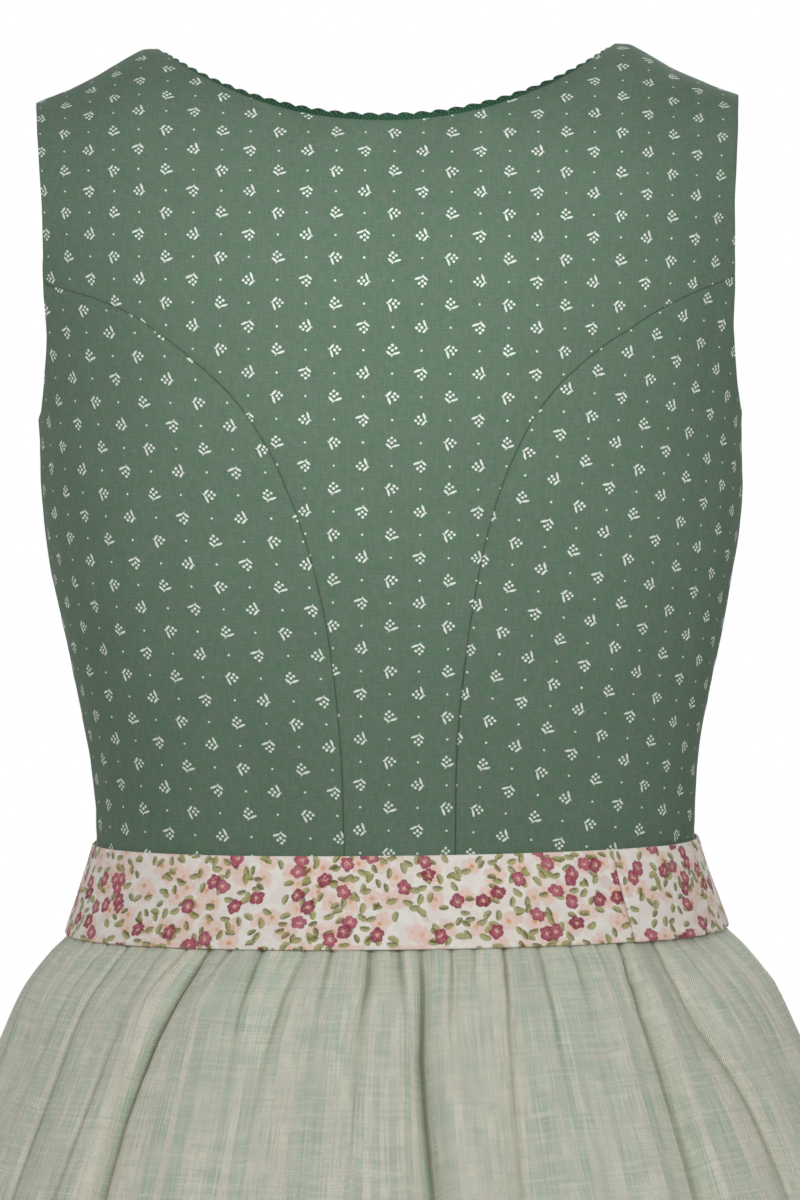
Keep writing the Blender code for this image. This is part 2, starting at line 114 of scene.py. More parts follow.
# Half of the shoulder line: distance from the middle, height.
SHOULDER_LINE = (
    (0.0000, 0.0000), (0.1100, 0.0000), (0.1165, -0.0028), (0.1255, -0.0080), (0.1310, -0.0112),
    (0.1395, -0.0152), (0.1465, -0.0184), (0.1530, -0.0210), (0.1580, -0.0228), (0.1640, -0.0255),
    (0.1900, -0.0390),
)

# Armhole from the shoulder to under the arm: drop, turn.
ARMHOLE_BACK = (
    (0.0000, 58.8), (0.0400, 58.6), (0.0810, 59.6), (0.1000, 62.0), (0.1118, 64.6), (0.1300, 68.0),
    (0.1480, 72.5), (0.1640, 80.0), (0.1710, 90.0),
)
ARMHOLE_FRONT = (
    (0.0000, 58.8), (0.0400, 56.0), (0.0810, 53.0), (0.1000, 53.5), (0.1180, 56.0), (0.1360, 61.0),
    (0.1540, 68.5), (0.1670, 78.5), (0.1710, 90.0),
)
ARMHOLE_END = 0.1710
BACK_SEAM_START = 0.1118
FRONT_SEAM_START = 0.1180

# Points that shape a neckline or an armhole, and steps between two of them while it is measured.
EDGE_POINTS = 25
CURVE_STEPS = 24

# Shaped seams from the armhole to the waist: distance from the middle, drop.
BACK_SEAM_LEFT = (
    (0.1302, 0.1192), (0.1053, 0.1288), (0.0880, 0.1416), (0.0694, 0.1596), (0.0546, 0.1820),
    (0.0450, 0.2044), (0.0376, 0.2268), (0.0321, 0.2492), (0.0284, 0.2716), (0.0259, 0.2944),
    (0.0242, 0.3168), (0.0231, BAND_TOP), (0.0229, WAIST_SEAM),
)
BACK_SEAM_RIGHT = (
    (0.1316, 0.1205), (0.1069, 0.1304), (0.0874, 0.1436), (0.0694, 0.1612), (0.0562, 0.1832),
    (0.0471, 0.2052), (0.0408, 0.2276), (0.0363, 0.2500), (0.0328, 0.2724), (0.0300, 0.2948),
    (0.0280, 0.3176), (0.0267, BAND_TOP), (0.0264, WAIST_SEAM),
)
FRONT_SEAM = (
    (0.1220, 0.1330), (0.1080, 0.1560), (0.0965, 0.1850), (0.0890, 0.2150), (0.0810, 0.2500),
    (0.0720, 0.2900), (0.0640, 0.3300), (0.0600, BAND_TOP), (0.0600, WAIST_SEAM),
)

# Large valleys of the skirt: turn at the waist and at the hem, depth at the hem.
SKIRT_VALLEYS = (
    (-2.0, -3.5, 0.030), (14.5, 15.5, 0.020), (31.5, 36.5, 0.036), (52.0, 55.0, 0.026),
    (71.0, 73.0, 0.030), (90.0, 90.0, 0.024), (107.0, 106.0, 0.030), (122.0, 121.0, 0.024),
    (141.0, 141.0, 0.033), (158.0, 158.5, 0.025), (177.0, 176.0, 0.030), (193.0, 194.0, 0.023),
    (212.0, 212.0, 0.034), (230.0, 230.5, 0.026), (251.0, 252.0, 0.031), (270.0, 270.0, 0.026),
    (284.0, 285.0, 0.022), (297.5, 300.5, 0.032), (311.0, 312.5, 0.018), (322.4, 325.0, 0.034),
    (333.5, 335.5, 0.014), (344.7, 346.5, 0.026),
)
FOLD_SHARPNESS = 1.7
SIDE_TURN = 90.0
APRON_EDGES = (93.4, 266.2)

# Points across each length of cloth, and how far above its edge a hem is sewn.
BACK_COLUMNS = 380
FRONT_COLUMNS = 240
APRON_COLUMNS = 330
BAND_COLUMNS = 420
BAND_ROWS = 20
SKIRT_HEM_DEPTH = 0.030
APRON_HEM_DEPTH = 0.022

# How far inside an upright edge it is sewn, in degrees.
STITCH_TURN = 1.1

# The band's ends, in degrees.
BAND_END = -42.0
BAND_UNDERLAP = 15.0

# The tables of folds give depths that this number scales.
FOLD_DEPTH = 0.84

# Drops between which the cloth stops following these folds.
DRIFT_END = (0.66, 0.54)

# Drop of the row that sets the skirt's cloth across.
UV_ROW = 0.48

# Folds at the back of the skirt, from the band down. Each is a run of stations: millimetres below
# the band, turn, depth and half width in millimetres.
BACK_FOLDS = (
    ((0, 86.0, 2.0, 1.8), (19.5, 86.0, 1.4, 2.4), (44.5, 86.0, 0.0, 3.0)),
    ((0, 81.2, 2.6, 2.0), (22, 78.6, 2.5, 3.0), (49.5, 75.6, 2.4, 5.0), (104.5, 74.0, 1.8, 6.0)),
    ((0, 74.8, 2.4, 1.8), (18.5, 73.0, 1.6, 2.2), (36.5, 71.6, 0.6, 2.6), (64.5, 71.0, 0.0, 3.0)),
    ((0, 69.4, 3.0, 1.8), (22.5, 67.6, 2.4, 2.6), (54.5, 66.2, 1.8, 4.0), (104.5, 66.0, 1.2, 5.0)),
    ((0, 64.0, 2.2, 1.6), (12.5, 63.4, 1.4, 2.0), (30.5, 63.0, 0.0, 2.4)),
    ((0, 58.2, 2.8, 1.8), (20.5, 58.8, 2.2, 2.6), (44.5, 59.6, 1.8, 4.0), (94.5, 60.4, 1.4, 5.0)),
    (
        (0, 51.6, 3.4, 1.8), (13.2, 51.8, 2.8, 2.4), (23.2, 52.8, 2.6, 3.0), (39.5, 53.8, 2.6, 4.0),
        (64.5, 54.2, 2.4, 5.0), (104.5, 54.8, 2.2, 6.0), (174.5, 55.0, 0.0, 8.0),
    ),
    ((0, 45.6, 2.4, 1.6), (15.5, 46.6, 1.8, 2.2), (30.5, 47.6, 1.0, 2.8), (54.5, 48.6, 0.0, 3.0)),
    (
        (0, 41.0, 2.0, 1.5), (18.5, 41.6, 1.4, 2.6), (36.5, 42.4, 2.2, 4.0), (60.5, 43.4, 2.8, 4.6),
        (104.5, 44.2, 2.4, 5.4), (154.5, 44.6, 0.0, 7.0),
    ),
    ((0, 36.0, 3.4, 1.3), (6, 36.8, 2.4, 1.5), (14.5, 38.2, 0.8, 1.8), (22.5, 38.8, 0.0, 2.0)),
    (
        (0, 31.2, 4.8, 1.8), (10.7, 31.9, 5.0, 2.1), (23.2, 33.2, 5.0, 2.7), (40.7, 35.2, 5.2, 3.2),
        (58.2, 36.4, 4.8, 3.7), (74.5, 37.0, 4.1, 4.4), (104.5, 37.3, 3.8, 5.2), (164.5, 37.2, 3.0, 6.0),
        (254.5, 37.0, 0.0, 8.0),
    ),
    ((0, 26.8, 3.6, 1.4), (5.5, 27.6, 2.6, 1.6), (14.5, 28.8, 1.0, 2.0), (22.5, 29.6, 0.0, 2.2)),
    (
        (0, 20.8, 4.2, 1.6), (14.5, 21.0, 3.2, 2.0), (27, 21.2, 2.4, 2.4), (39.5, 21.0, 1.6, 3.0),
        (74.5, 20.8, 1.2, 4.0), (114.5, 20.6, 0.0, 5.0),
    ),
    (
        (0, 13.2, 2.6, 1.6), (18.2, 14.8, 2.5, 2.6), (29.5, 15.5, 2.8, 3.2), (42, 16.2, 1.8, 3.5),
        (74.5, 16.8, 0.8, 4.0), (114.5, 17.0, 0.0, 5.0),
    ),
    ((0, 8.9, 3.6, 1.4), (12.5, 9.2, 2.2, 1.8), (28.5, 9.4, 0.6, 2.2), (44.5, 9.6, 0.0, 3.0)),
    (
        (0, 3.3, 4.6, 1.4), (14.5, 3.3, 3.8, 1.8), (24.5, 3.8, 2.4, 2.4), (35.5, 4.1, 1.8, 3.0),
        (60.5, 4.3, 1.4, 3.5), (114.5, 4.6, 0.0, 4.0),
    ),
    ((0, -0.1, 4.0, 1.4), (7.5, -0.2, 3.2, 1.5), (15.5, -0.4, 2.0, 1.7), (25.5, -0.55, 0.0, 2.2)),
    (
        (0, -2.9, 3.4, 1.7), (18.5, -2.8, 4.4, 2.2), (48.2, -2.3, 5.8, 3.0), (74.5, -2.5, 5.2, 3.2),
        (104.5, -2.9, 5.0, 3.6), (164.5, -3.1, 3.2, 5.0), (244.5, -3.2, 0.0, 8.0),
    ),
    ((0, -7.4, 3.4, 1.4), (14.5, -6.6, 2.6, 1.8), (27, -6.0, 1.8, 2.4), (64.5, -5.8, 0.0, 3.0)),
    ((0, -11.0, 3.0, 1.4), (9.5, -10.2, 2.0, 1.6), (20.5, -9.6, 0.8, 2.0), (34.5, -9.4, 0.0, 2.4)),
    (
        (0, -16.0, 4.4, 1.5), (12, -15.0, 3.6, 1.9), (32, -13.8, 2.4, 3.6), (59.5, -13.2, 2.3, 5.0),
        (74.5, -12.9, 2.2, 5.6), (104.5, -12.5, 2.2, 6.0), (174.5, -12.6, 0.0, 6.0),
    ),
    ((0, -22.0, 3.2, 1.5), (16.5, -20.9, 2.4, 2.1), (39.5, -20.7, 1.8, 2.9), (94.5, -21.4, 0.0, 4.0)),
    ((0, -28.4, 3.0, 1.5), (14.5, -27.4, 2.0, 1.9), (30.7, -26.8, 1.4, 2.5), (74.5, -26.6, 0.0, 3.2)),
    ((0, -33.6, 2.8, 1.3), (8.5, -32.8, 1.8, 1.6), (18.5, -32.0, 0.6, 2.0), (34.5, -31.4, 0.0, 2.4)),
    (
        (0, -39.2, 5.2, 1.8), (15.7, -37.0, 5.2, 2.3), (30.7, -36.4, 4.4, 3.2), (43.2, -36.6, 3.6, 4.6),
        (74.5, -36.8, 3.2, 6.2), (104.5, -36.8, 3.2, 6.6), (164.5, -36.9, 2.4, 8.0),
        (254.5, -37.0, 0.0, 8.0),
    ),
    ((0, -43.0, 2.0, 1.3), (9.5, -41.2, 1.0, 1.6), (18.5, -40.4, 0.0, 2.0)),
    (
        (0, -47.6, 3.8, 1.8), (14.5, -45.9, 3.0, 2.2), (25.7, -45.9, 2.4, 3.0), (37, -46.9, 2.6, 3.6),
        (48.2, -49.0, 2.8, 4.0), (59.5, -51.2, 3.0, 4.5), (74.5, -53.0, 3.2, 5.0),
        (104.5, -54.0, 3.0, 5.5), (174.5, -54.2, 0.0, 7.0),
    ),
    ((0, -54.2, 2.4, 1.6), (15.5, -54.4, 2.0, 2.6), (34.5, -56.0, 1.4, 3.4), (64.5, -58.6, 0.0, 4.0)),
    ((0, -60.4, 3.4, 1.8), (20.5, -63.0, 3.0, 3.2), (44.5, -66.6, 2.8, 4.6), (104.5, -68.6, 2.2, 6.0)),
    ((0, -66.8, 2.4, 1.6), (18.5, -69.0, 1.8, 2.4), (38.5, -71.4, 1.0, 3.0), (74.5, -73.0, 0.0, 3.4)),
    ((0, -73.2, 2.8, 1.8), (26.5, -75.4, 2.2, 3.0), (64.5, -77.6, 1.6, 4.4), (114.5, -78.6, 1.0, 5.0)),
    ((0, -79.4, 2.2, 1.6), (15.5, -80.0, 1.4, 2.2), (38.5, -81.4, 0.0, 3.0)),
    ((0, -85.0, 2.6, 1.8), (24.5, -85.2, 2.0, 2.6), (64.5, -85.6, 0.0, 3.4)),
)

# Creases of the bodice: distance from the middle and drop of both ends, height in millimetres
# (below 0 for a trough) and half width in millimetres. The first table is the back.
BACK_CREASES = (
    (0.052, 0.250, 0.100, 0.262, -0.9, 7.0), (0.046, 0.288, 0.074, 0.290, -0.5, 4.0),
    (0.044, 0.306, 0.068, 0.311, 0.5, 4.5), (0.044, 0.322, 0.064, 0.325, -0.4, 4.0),
    (0.120, 0.262, 0.150, 0.232, 1.1, 5.0), (0.118, 0.285, 0.146, 0.262, -0.7, 6.0),
    (0.078, 0.232, 0.112, 0.240, 0.8, 8.0), (-0.062, 0.262, -0.100, 0.236, 1.0, 8.0),
    (-0.052, 0.288, -0.090, 0.262, -0.8, 7.0), (-0.124, 0.238, -0.146, 0.262, 1.0, 4.5),
    (-0.130, 0.225, -0.150, 0.240, -0.7, 5.0), (0.110, 0.175, 0.148, 0.190, -0.9, 8.0),
    (-0.112, 0.172, -0.148, 0.182, -0.8, 8.0), (0.090, 0.095, 0.140, 0.080, -0.9, 10.0),
    (0.085, 0.060, 0.135, 0.050, 0.7, 9.0), (-0.088, 0.090, -0.138, 0.078, -0.8, 10.0),
    (-0.020, 0.340, 0.020, 0.338, -0.3, 5.0), (-0.060, 0.335, -0.100, 0.344, -0.4, 5.0),
    (0.070, 0.342, 0.110, 0.335, -0.5, 6.0),
)
FRONT_CREASES = (
    (0.030, 0.255, 0.082, 0.262, -0.9, 8.0), (0.036, 0.300, 0.066, 0.296, -0.6, 5.0),
    (0.088, 0.280, 0.126, 0.262, 0.9, 6.0), (0.100, 0.205, 0.140, 0.186, -0.9, 8.0),
    (0.110, 0.320, 0.138, 0.326, -0.6, 5.0), (0.070, 0.170, 0.104, 0.140, 0.8, 9.0),
    (-0.026, 0.262, -0.084, 0.256, -0.8, 8.0), (-0.034, 0.322, -0.062, 0.326, -0.6, 5.0),
    (-0.092, 0.272, -0.130, 0.284, 0.9, 6.0), (-0.104, 0.196, -0.142, 0.204, -0.8, 8.0),
    (-0.108, 0.330, -0.136, 0.318, -0.5, 5.0), (-0.072, 0.160, -0.108, 0.146, 0.8, 9.0),
)

# Lie of the print on each bodice piece: what one unit across and one unit up add to the place across,
# then to the place up, and the shift across and up in metres.
PANEL_GRAIN = {
    "back_centre": ((0.985, -0.019), (0.019, 0.999), (0.0114, -0.0022)),
    "back_side_left": ((0.936, 0.102), (0.010, 0.994), (0.0210, 0.0211)),
    "back_side_right": ((0.935, -0.144), (0.161, 0.996), (-0.0018, 0.0135)),
    "front_side_left": ((0.985, -0.170), (0.170, 0.985), (0.0010, 0.0040)),
    "front_side_right": ((0.985, 0.170), (-0.170, 0.985), (0.0060, 0.0010)),
    "front_centre_left": ((1.0, 0.0), (0.0, 1.0), (0.0030, 0.0020)),
    "front_centre_right": ((1.0, 0.0), (0.0, 1.0), (0.0030, 0.0020)),
}

# Length between the points that the rickrack follows, and a point inside the neck opening.
BRAID_STEP = 0.0004
ABOVE_NECK = (0.0, 0.0, 0.06)

# The sprig of the bodice print, in millimetres from its middle: berries, then blades with their
# ends and width.
SPRIG_BERRIES = ((0.0, -0.05), (-1.35, -1.05), (1.38, -1.1), (0.2, -2.35))
BERRY_RADIUS = 0.63
SPRIG_BLADES = (
    (-0.5, 1.7, -3.0, 0.8, 1.05),
    (0.6, 1.9, 2.2, 0.5, 1.05),
    (-0.3, 1.7, 0.7, 2.8, 0.45),
)
SPRIG_DOT = 0.50
SPRIG_SOFTNESS = 0.13

# Size of the bodice where it is laid flat: its radius, and the length of its slope for each drop.
FLAT_RADIUS = 0.150
FLAT_SLOPE = 1.15

# Painted shade deep in the creases and on the bodice's rounded edges: its colour, and how much of it
# there is.
CREASE_SHADE_TINT = (0.48, 0.49, 0.38)
CREASE_SHADE_STRENGTH = 0.85


def srgb(red, green, blue):
    """A linear colour from screen levels of 0 to 255."""
    levels = [level / 255 for level in (red, green, blue)]
    return tuple(v / 12.92 if v <= 0.04045 else ((v + 0.055) / 1.055) ** 2.4 for v in levels)


# Form of the cloth, repeated from the solids.


def table_value(table, column, at):
    """Smooth values of a table column at values of its first column."""
    table = np.asarray(table, float)
    keys = table[:, 0]
    values = table[:, column]
    at = np.clip(at, keys[0], keys[-1])
    slopes = np.empty_like(values)
    slopes[1:-1] = (values[2:] - values[:-2]) / (keys[2:] - keys[:-2])
    slopes[0] = (values[1] - values[0]) / (keys[1] - keys[0])
    slopes[-1] = (values[-1] - values[-2]) / (keys[-1] - keys[-2])
    i = np.clip(np.searchsorted(keys, at) - 1, 0, len(keys) - 2)
    step = keys[i + 1] - keys[i]
    t = (at - keys[i]) / step
    start = (1 + 2 * t) * (1 - t) ** 2 * values[i] + t * (1 - t) ** 2 * step * slopes[i]
    end = t * t * (3 - 2 * t) * values[i + 1] - t * t * (1 - t) * step * slopes[i + 1]
    return start + end


def signed_power(value, power):
    return np.sign(value) * np.abs(value) ** power


def eased(value, low, high):
    """0 below low, 1 above high and smooth between."""
    t = np.clip((value - low) / (high - low), 0, 1)
    return t * t * (3 - 2 * t)


def unit(vectors):
    return vectors / np.linalg.norm(vectors, axis=-1, keepdims=True)


def nominal(drop):
    """The drop of the section that shapes the bodice here."""
    angle = 0.5 * math.pi * np.clip(np.abs(drop) / ARCH_DROP, 0, 1)
    return np.where(np.abs(drop) < ARCH_DROP, ARCH_DROP * (1 - np.cos(angle)), np.abs(drop))


def bodice_point(turn, drop):
    """Points of the bodice: turn from the middle, drop down the back (+) or the front (-)."""
    turn, drop = np.broadcast_arrays(np.radians(turn), np.asarray(drop, float))
    level = nominal(drop)
    width = table_value(BODICE_SECTIONS, 1, level)
    back = table_value(BODICE_SECTIONS, 2, level)
    front = table_value(BODICE_SECTIONS, 3, level)
    depth = np.where(drop >= 0, back, -front)
    x = width * signed_power(np.sin(turn), 2 / ROUNDNESS)
    reach = depth * np.maximum(np.cos(turn), 0) ** (2 / ROUNDNESS)
    angle = 0.5 * math.pi * np.clip(np.abs(drop) / ARCH_DROP, 0, 1)
    ridge = table_value(SHOULDER_LINE, 1, np.abs(x))
    arched = np.abs(drop) < ARCH_DROP
    y = np.where(arched, RIDGE_DEPTH + (reach - RIDGE_DEPTH) * np.sin(angle), reach)
    z = np.where(arched, ridge - (ARCH_DROP + ridge) * (1 - np.cos(angle)), -np.abs(drop))
    return np.stack([x, y, z], axis=-1)


def bodice_normal(turn, drop):
    """Unit normals of the bodice, pointing away from the wearer."""
    along = bodice_point(np.minimum(turn + 0.5, 89.9), drop)
    along = along - bodice_point(np.maximum(turn - 0.5, -89.9), drop)
    down = bodice_point(turn, drop + 0.002) - bodice_point(turn, drop - 0.002)
    return unit(np.cross(along, down))


def turn_at(x, drop):
    """The turn that puts a point of this drop at this distance from the middle."""
    share = x / table_value(BODICE_SECTIONS, 1, nominal(drop))
    return np.degrees(np.arcsin(np.clip(signed_power(share, ROUNDNESS / 2), -1, 1)))


def resampled(turns, drops, pitch):
    """A smooth line through (turn, drop) points, cut into even lengths on the bodice."""
    keyed = np.column_stack([np.arange(len(turns)), turns, drops])
    at = np.linspace(0, len(turns) - 1, (len(turns) - 1) * CURVE_STEPS + 1)
    fine = np.column_stack([table_value(keyed, 1, at), table_value(keyed, 2, at)])
    steps = np.linalg.norm(np.diff(bodice_point(*fine.T), axis=0), axis=1)
    lengths = np.concatenate([[0], np.cumsum(steps)])
    even = np.linspace(0, lengths[-1], max(int(round(lengths[-1] / pitch)), 1) + 1)
    return np.column_stack([np.interp(even, lengths, fine[:, k]) for k in (0, 1)])


def neckline(back, start, end, pitch):
    """The neckline between two shares of its quarter arc, 0 at the shoulder, 1 in the middle."""
    shape = NECK_BACK_SHAPE if back else NECK_FRONT_SHAPE
    depth = NECK_BACK_DROP if back else -NECK_FRONT_DROP
    angle = 0.5 * math.pi * np.linspace(start, end, EDGE_POINTS)
    x = NECK_HALF * np.maximum(np.cos(angle), 0) ** (2 / shape[0])
    drop = depth * np.sin(angle) ** (2 / shape[1])
    return resampled(turn_at(x, drop), drop, pitch)


def neck_share(drop):
    """The share of the front neck arc that lies at this drop."""
    return math.asin((drop / NECK_FRONT_DROP) ** (NECK_FRONT_SHAPE[1] / 2)) / (0.5 * math.pi)


def armhole(back, start, end, pitch):
    """The armhole between two drops, from the shoulder down."""
    table = ARMHOLE_BACK if back else ARMHOLE_FRONT
    drops = np.linspace(start, end, EDGE_POINTS)
    return resampled(table_value(table, 1, drops), drops if back else -drops, pitch)


def seam(back, table, pitch):
    """A shaped seam from the armhole to the waist."""
    start = BACK_SEAM_START if back else FRONT_SEAM_START
    sign = 1 if back else -1
    x, drop = np.array(table).T
    first = table_value(ARMHOLE_BACK if back else ARMHOLE_FRONT, 1, start)
    turns = np.concatenate([[first], turn_at(x, drop)])
    return resampled(turns, sign * np.concatenate([[start], drop]), pitch)


def across(first, last, pitch):
    """A level or straight edge between two (turn, drop) points."""
    length = np.linalg.norm(bodice_point(*first) - bodice_point(*last))
    share = np.linspace(0, 1, max(int(round(length / pitch)), 1) + 1)[:, None]
    return np.asarray(first) * (1 - share) + np.asarray(last) * share


def mirrored(places):
    return places[::-1] * (-1, 1)


def joined(*runs):
    """One closed outline from runs that share their end points."""
    return np.vstack([run[:-1] for run in runs])


def bodice_outlines(pitch):
    """Each bodice piece as a closed outline of (turn, drop) points, with its seams."""
    share = neck_share(SHOULDER_SEAM)
    neck_front = neckline(False, 0.0, share, pitch)
    arm_front = armhole(False, 0.0, SHOULDER_SEAM, pitch)
    shoulder = across(neck_front[-1], arm_front[-1], pitch)
    side = resampled([90.0] * 5, np.linspace(ARMHOLE_END, WAIST_SEAM, 5), pitch)
    back_seams = [seam(True, table, pitch) for table in (BACK_SEAM_LEFT, BACK_SEAM_RIGHT)]
    halves = [
        [
            neckline(True, 0.0, 1.0, pitch)[::-1],
            neck_front,
            shoulder,
            arm_front[::-1],
            armhole(True, 0.0, BACK_SEAM_START, pitch),
            down,
            across(down[-1], (0.0, WAIST_SEAM), pitch),
        ]
        for down in back_seams
    ]
    back_centre = joined(*halves[0], *[mirrored(run) for run in halves[1][::-1]])
    back_sides = [
        joined(
            armhole(True, BACK_SEAM_START, ARMHOLE_END, pitch),
            side,
            across(side[-1], down[-1], pitch),
            down[::-1],
        )
        for down in back_seams
    ]
    front_seam = seam(False, FRONT_SEAM, pitch)
    front = side * (1, -1)
    front_side = joined(
        armhole(False, FRONT_SEAM_START, ARMHOLE_END, pitch),
        front,
        across(front[-1], front_seam[-1], pitch),
        front_seam[::-1],
    )
    middle = across((0.0, -NECK_FRONT_DROP), (0.0, -WAIST_SEAM), pitch)
    front_centre = joined(
        neckline(False, share, 1.0, pitch),
        middle,
        across(middle[-1], front_seam[-1], pitch),
        front_seam[::-1],
        armhole(False, SHOULDER_SEAM, FRONT_SEAM_START, pitch)[::-1],
        shoulder[::-1],
    )

    def other_side(outline, seams):
        return mirrored(outline), [mirrored(line) for line in seams]

    front_side = (front_side, (front_seam, front))
    front_centre = (front_centre, (front_seam, shoulder, middle))
    centre_seams = (back_seams[0], mirrored(back_seams[1]), shoulder, mirrored(shoulder))
    return {
        "back_centre": (back_centre, centre_seams),
        "back_side_left": (back_sides[0], (back_seams[0], side)),
        "back_side_right": other_side(back_sides[1], (back_seams[1], side)),
        "front_side_left": front_side,
        "front_side_right": other_side(*front_side),
        "front_centre_left": front_centre,
        "front_centre_right": other_side(*front_centre),
    }


def flat(places):
    """(turn, drop) points on a plane that keeps the cloth's proportions roughly."""
    places = np.asarray(places, float)
    return np.stack([np.radians(places[..., 0]) * FLAT_RADIUS, places[..., 1] * FLAT_SLOPE], axis=-1)


def unflat(points):
    return np.stack([np.degrees(points[:, 0] / FLAT_RADIUS), points[:, 1] / FLAT_SLOPE], axis=-1)


def inside(points, outline):
    hit = np.zeros(len(points), bool)
    for a, b in zip(outline, np.roll(outline, -1, axis=0)):
        rise = b[1] - a[1]
        if rise == 0:
            continue
        crosses = (a[1] > points[:, 1]) != (b[1] > points[:, 1])
        hit ^= crosses & (points[:, 0] < (b[0] - a[0]) * (points[:, 1] - a[1]) / rise + a[0])
    return hit


def nearest(points, line):
    """Distance to a line of close points, and which of them is nearest."""
    gaps = np.linalg.norm(points[:, None] - line[None], axis=2)
    index = gaps.argmin(axis=1)
    return gaps[np.arange(len(points)), index], index


def panel_mesh(outline, pitch):
    """Points in (turn, drop), the outline first, and triangles that turn counter-clockwise."""
    edge = flat(outline)
    low = edge.min(axis=0)
    high = edge.max(axis=0)
    rise = pitch * math.sqrt(0.75)
    rows, columns = np.mgrid[0 : (high[1] - low[1]) / rise + 1, 0 : (high[0] - low[0]) / pitch + 1]
    x = low[0] + (columns + 0.5 * (rows % 2)) * pitch
    grid = np.column_stack([x.ravel(), (low[1] + rows * rise).ravel()])
    grid = grid[inside(grid, edge)]
    grid = grid[nearest(grid, edge)[0] > 0.72 * pitch]
    points = np.vstack([edge, grid])
    ring = list(range(len(edge)))
    solved = delaunay_2d_cdt([Vector(p) for p in points], [], [ring], 1, 1e-7)
    original = np.array([ids[0] for ids in solved[3]])
    return unflat(points), original[np.array(solved[2])]


# Meshes.


def placed(name, data):
    """A new object of the scene that holds a mesh, a lamp or a camera."""
    made = bpy.data.objects.new(name, data)
    bpy.context.scene.collection.objects.link(made)
    return made


def make_object(name, points, faces, uvs, materials, face_materials, creases):
    """A smooth mesh object from points, faces, and one UV and one value of painted shade, from the
    creases and rims, for each point.
    """
    mesh = bpy.data.meshes.new(name)
    mesh.from_pydata(points.tolist(), [], faces)
    layer = mesh.uv_layers.new(name="cloth")
    corners = np.empty(len(mesh.loops), np.int32)
    mesh.loops.foreach_get("vertex_index", corners)
    layer.data.foreach_set("uv", uvs[corners].ravel())
    mesh.attributes.new("crease_shade", "FLOAT", "POINT").data.foreach_set("value", creases)
    for material in materials:
        mesh.materials.append(material)
    mesh.polygons.foreach_set("material_index", face_materials)
    mesh.shade_smooth()
    return placed(name, mesh)


def make_shell(name, points, normals, faces, loop, uvs, edge, materials, creases=0.0, rim_shade=0.0):
    """A closed wall of cloth with a rounded rim.

    The faces turn counter-clockwise seen from outside, and the loop of rim points goes with them.
    The edge is the wall's thickness, the rim's radius and its inset. The second material is the
    wrong side of the cloth. The creases are each point's painted shade, from 0 to 1, for how deep it
    lies in the folds, and the rim's shade is the painted shade of the rounded edge.
    """
    wall, radius, inset = edge
    count = len(points)
    rim = points[loop]
    along = np.roll(rim, -1, axis=0) - np.roll(rim, 1, axis=0)
    inward = unit(np.cross(normals[loop], along))
    rings = []
    for angle in np.radians(RIM_ANGLES):
        side = inset + radius * (1 - math.sin(angle))
        rings.append((side, radius * (1 - math.cos(angle))))
    rings += [(side, wall - depth) for side, depth in rings[::-1]]
    rounded = [rim + inward * side - normals[loop] * depth for side, depth in rings]
    outer = points.copy()
    outer[loop] = rounded[0]
    inner = points - normals * wall
    inner[loop] = rounded[-1]
    vertices = np.vstack([outer, inner, *rounded[1:-1]])
    coordinates = np.vstack([uvs, uvs] + [uvs[loop]] * (len(rings) - 2))
    size = len(loop)
    lines = [np.asarray(loop)]
    lines += [2 * count + k * size + np.arange(size) for k in range(len(rings) - 2)]
    lines += [np.asarray(loop) + count]
    quads = []
    for upper, lower in zip(lines, lines[1:]):
        quads.append(np.column_stack([np.roll(upper, -1), upper, lower, np.roll(lower, -1)]))
    quads = np.vstack(quads)
    all_faces = faces.tolist() + (faces[:, ::-1] + count).tolist() + quads.tolist()
    reverse = np.zeros(len(all_faces), np.int32)
    reverse[len(faces) : 2 * len(faces)] = 1
    values = np.zeros(len(vertices))
    values[:count] = creases
    values[2 * count :] = rim_shade
    return make_object(name, vertices, all_faces, coordinates, materials, reverse, values)


def grid_faces(rows, columns):
    """Quads of a grid of points kept row by row, whose rows go down and columns to the left."""
    a = (np.arange(rows - 1)[:, None] * columns + np.arange(columns - 1)).ravel()
    return np.column_stack([a, a + columns, a + columns + 1, a + 1])


def grid_loop(rows, columns):
    """The rim of such a grid, in the direction that its faces give."""
    index = np.arange(rows * columns).reshape(rows, columns)
    sides = [index[:, 0], index[-1, 1:], index[-2::-1, -1], index[0, -2:0:-1]]
    return np.concatenate(sides)


def grid_normals(grid):
    along = np.gradient(grid, axis=1)
    down = np.gradient(grid, axis=0)
    return unit(np.cross(down, along))


def lengths_along(grid, axis):
    """Length from the first point to each point of a grid, along one axis."""
    steps = np.linalg.norm(np.diff(grid, axis=axis), axis=2)
    padding = [(1, 0) if k == axis else (0, 0) for k in (0, 1)]
    return np.pad(np.cumsum(steps, axis=axis), padding)


# Bodice.


def cloth_lengths(turn, drop):
    """Lengths on the bodice: across from the middle, and down from the shoulder ridge."""
    step = 0.005
    turns = np.arange(0.0, 91.0, 1.0)
    drops = np.arange(-0.390, 0.3901, step)
    grid = bodice_point(turns[None, :], drops[:, None])
    wide = lengths_along(grid, 1)
    long = lengths_along(grid, 0)
    long = long - long[len(drops) // 2]
    column = np.clip(np.abs(turn), 0, 89.999)
    row = np.clip((drop - drops[0]) / step, 0, len(drops) - 1.001)
    i, j = row.astype(int), column.astype(int)
    s, t = row - i, column - j

    def mixed(table):
        upper = table[i, j] * (1 - t) + table[i, j + 1] * t
        lower = table[i + 1, j] * (1 - t) + table[i + 1, j + 1] * t
        return upper * (1 - s) + lower * s

    return mixed(wide) * np.sign(turn), mixed(long)


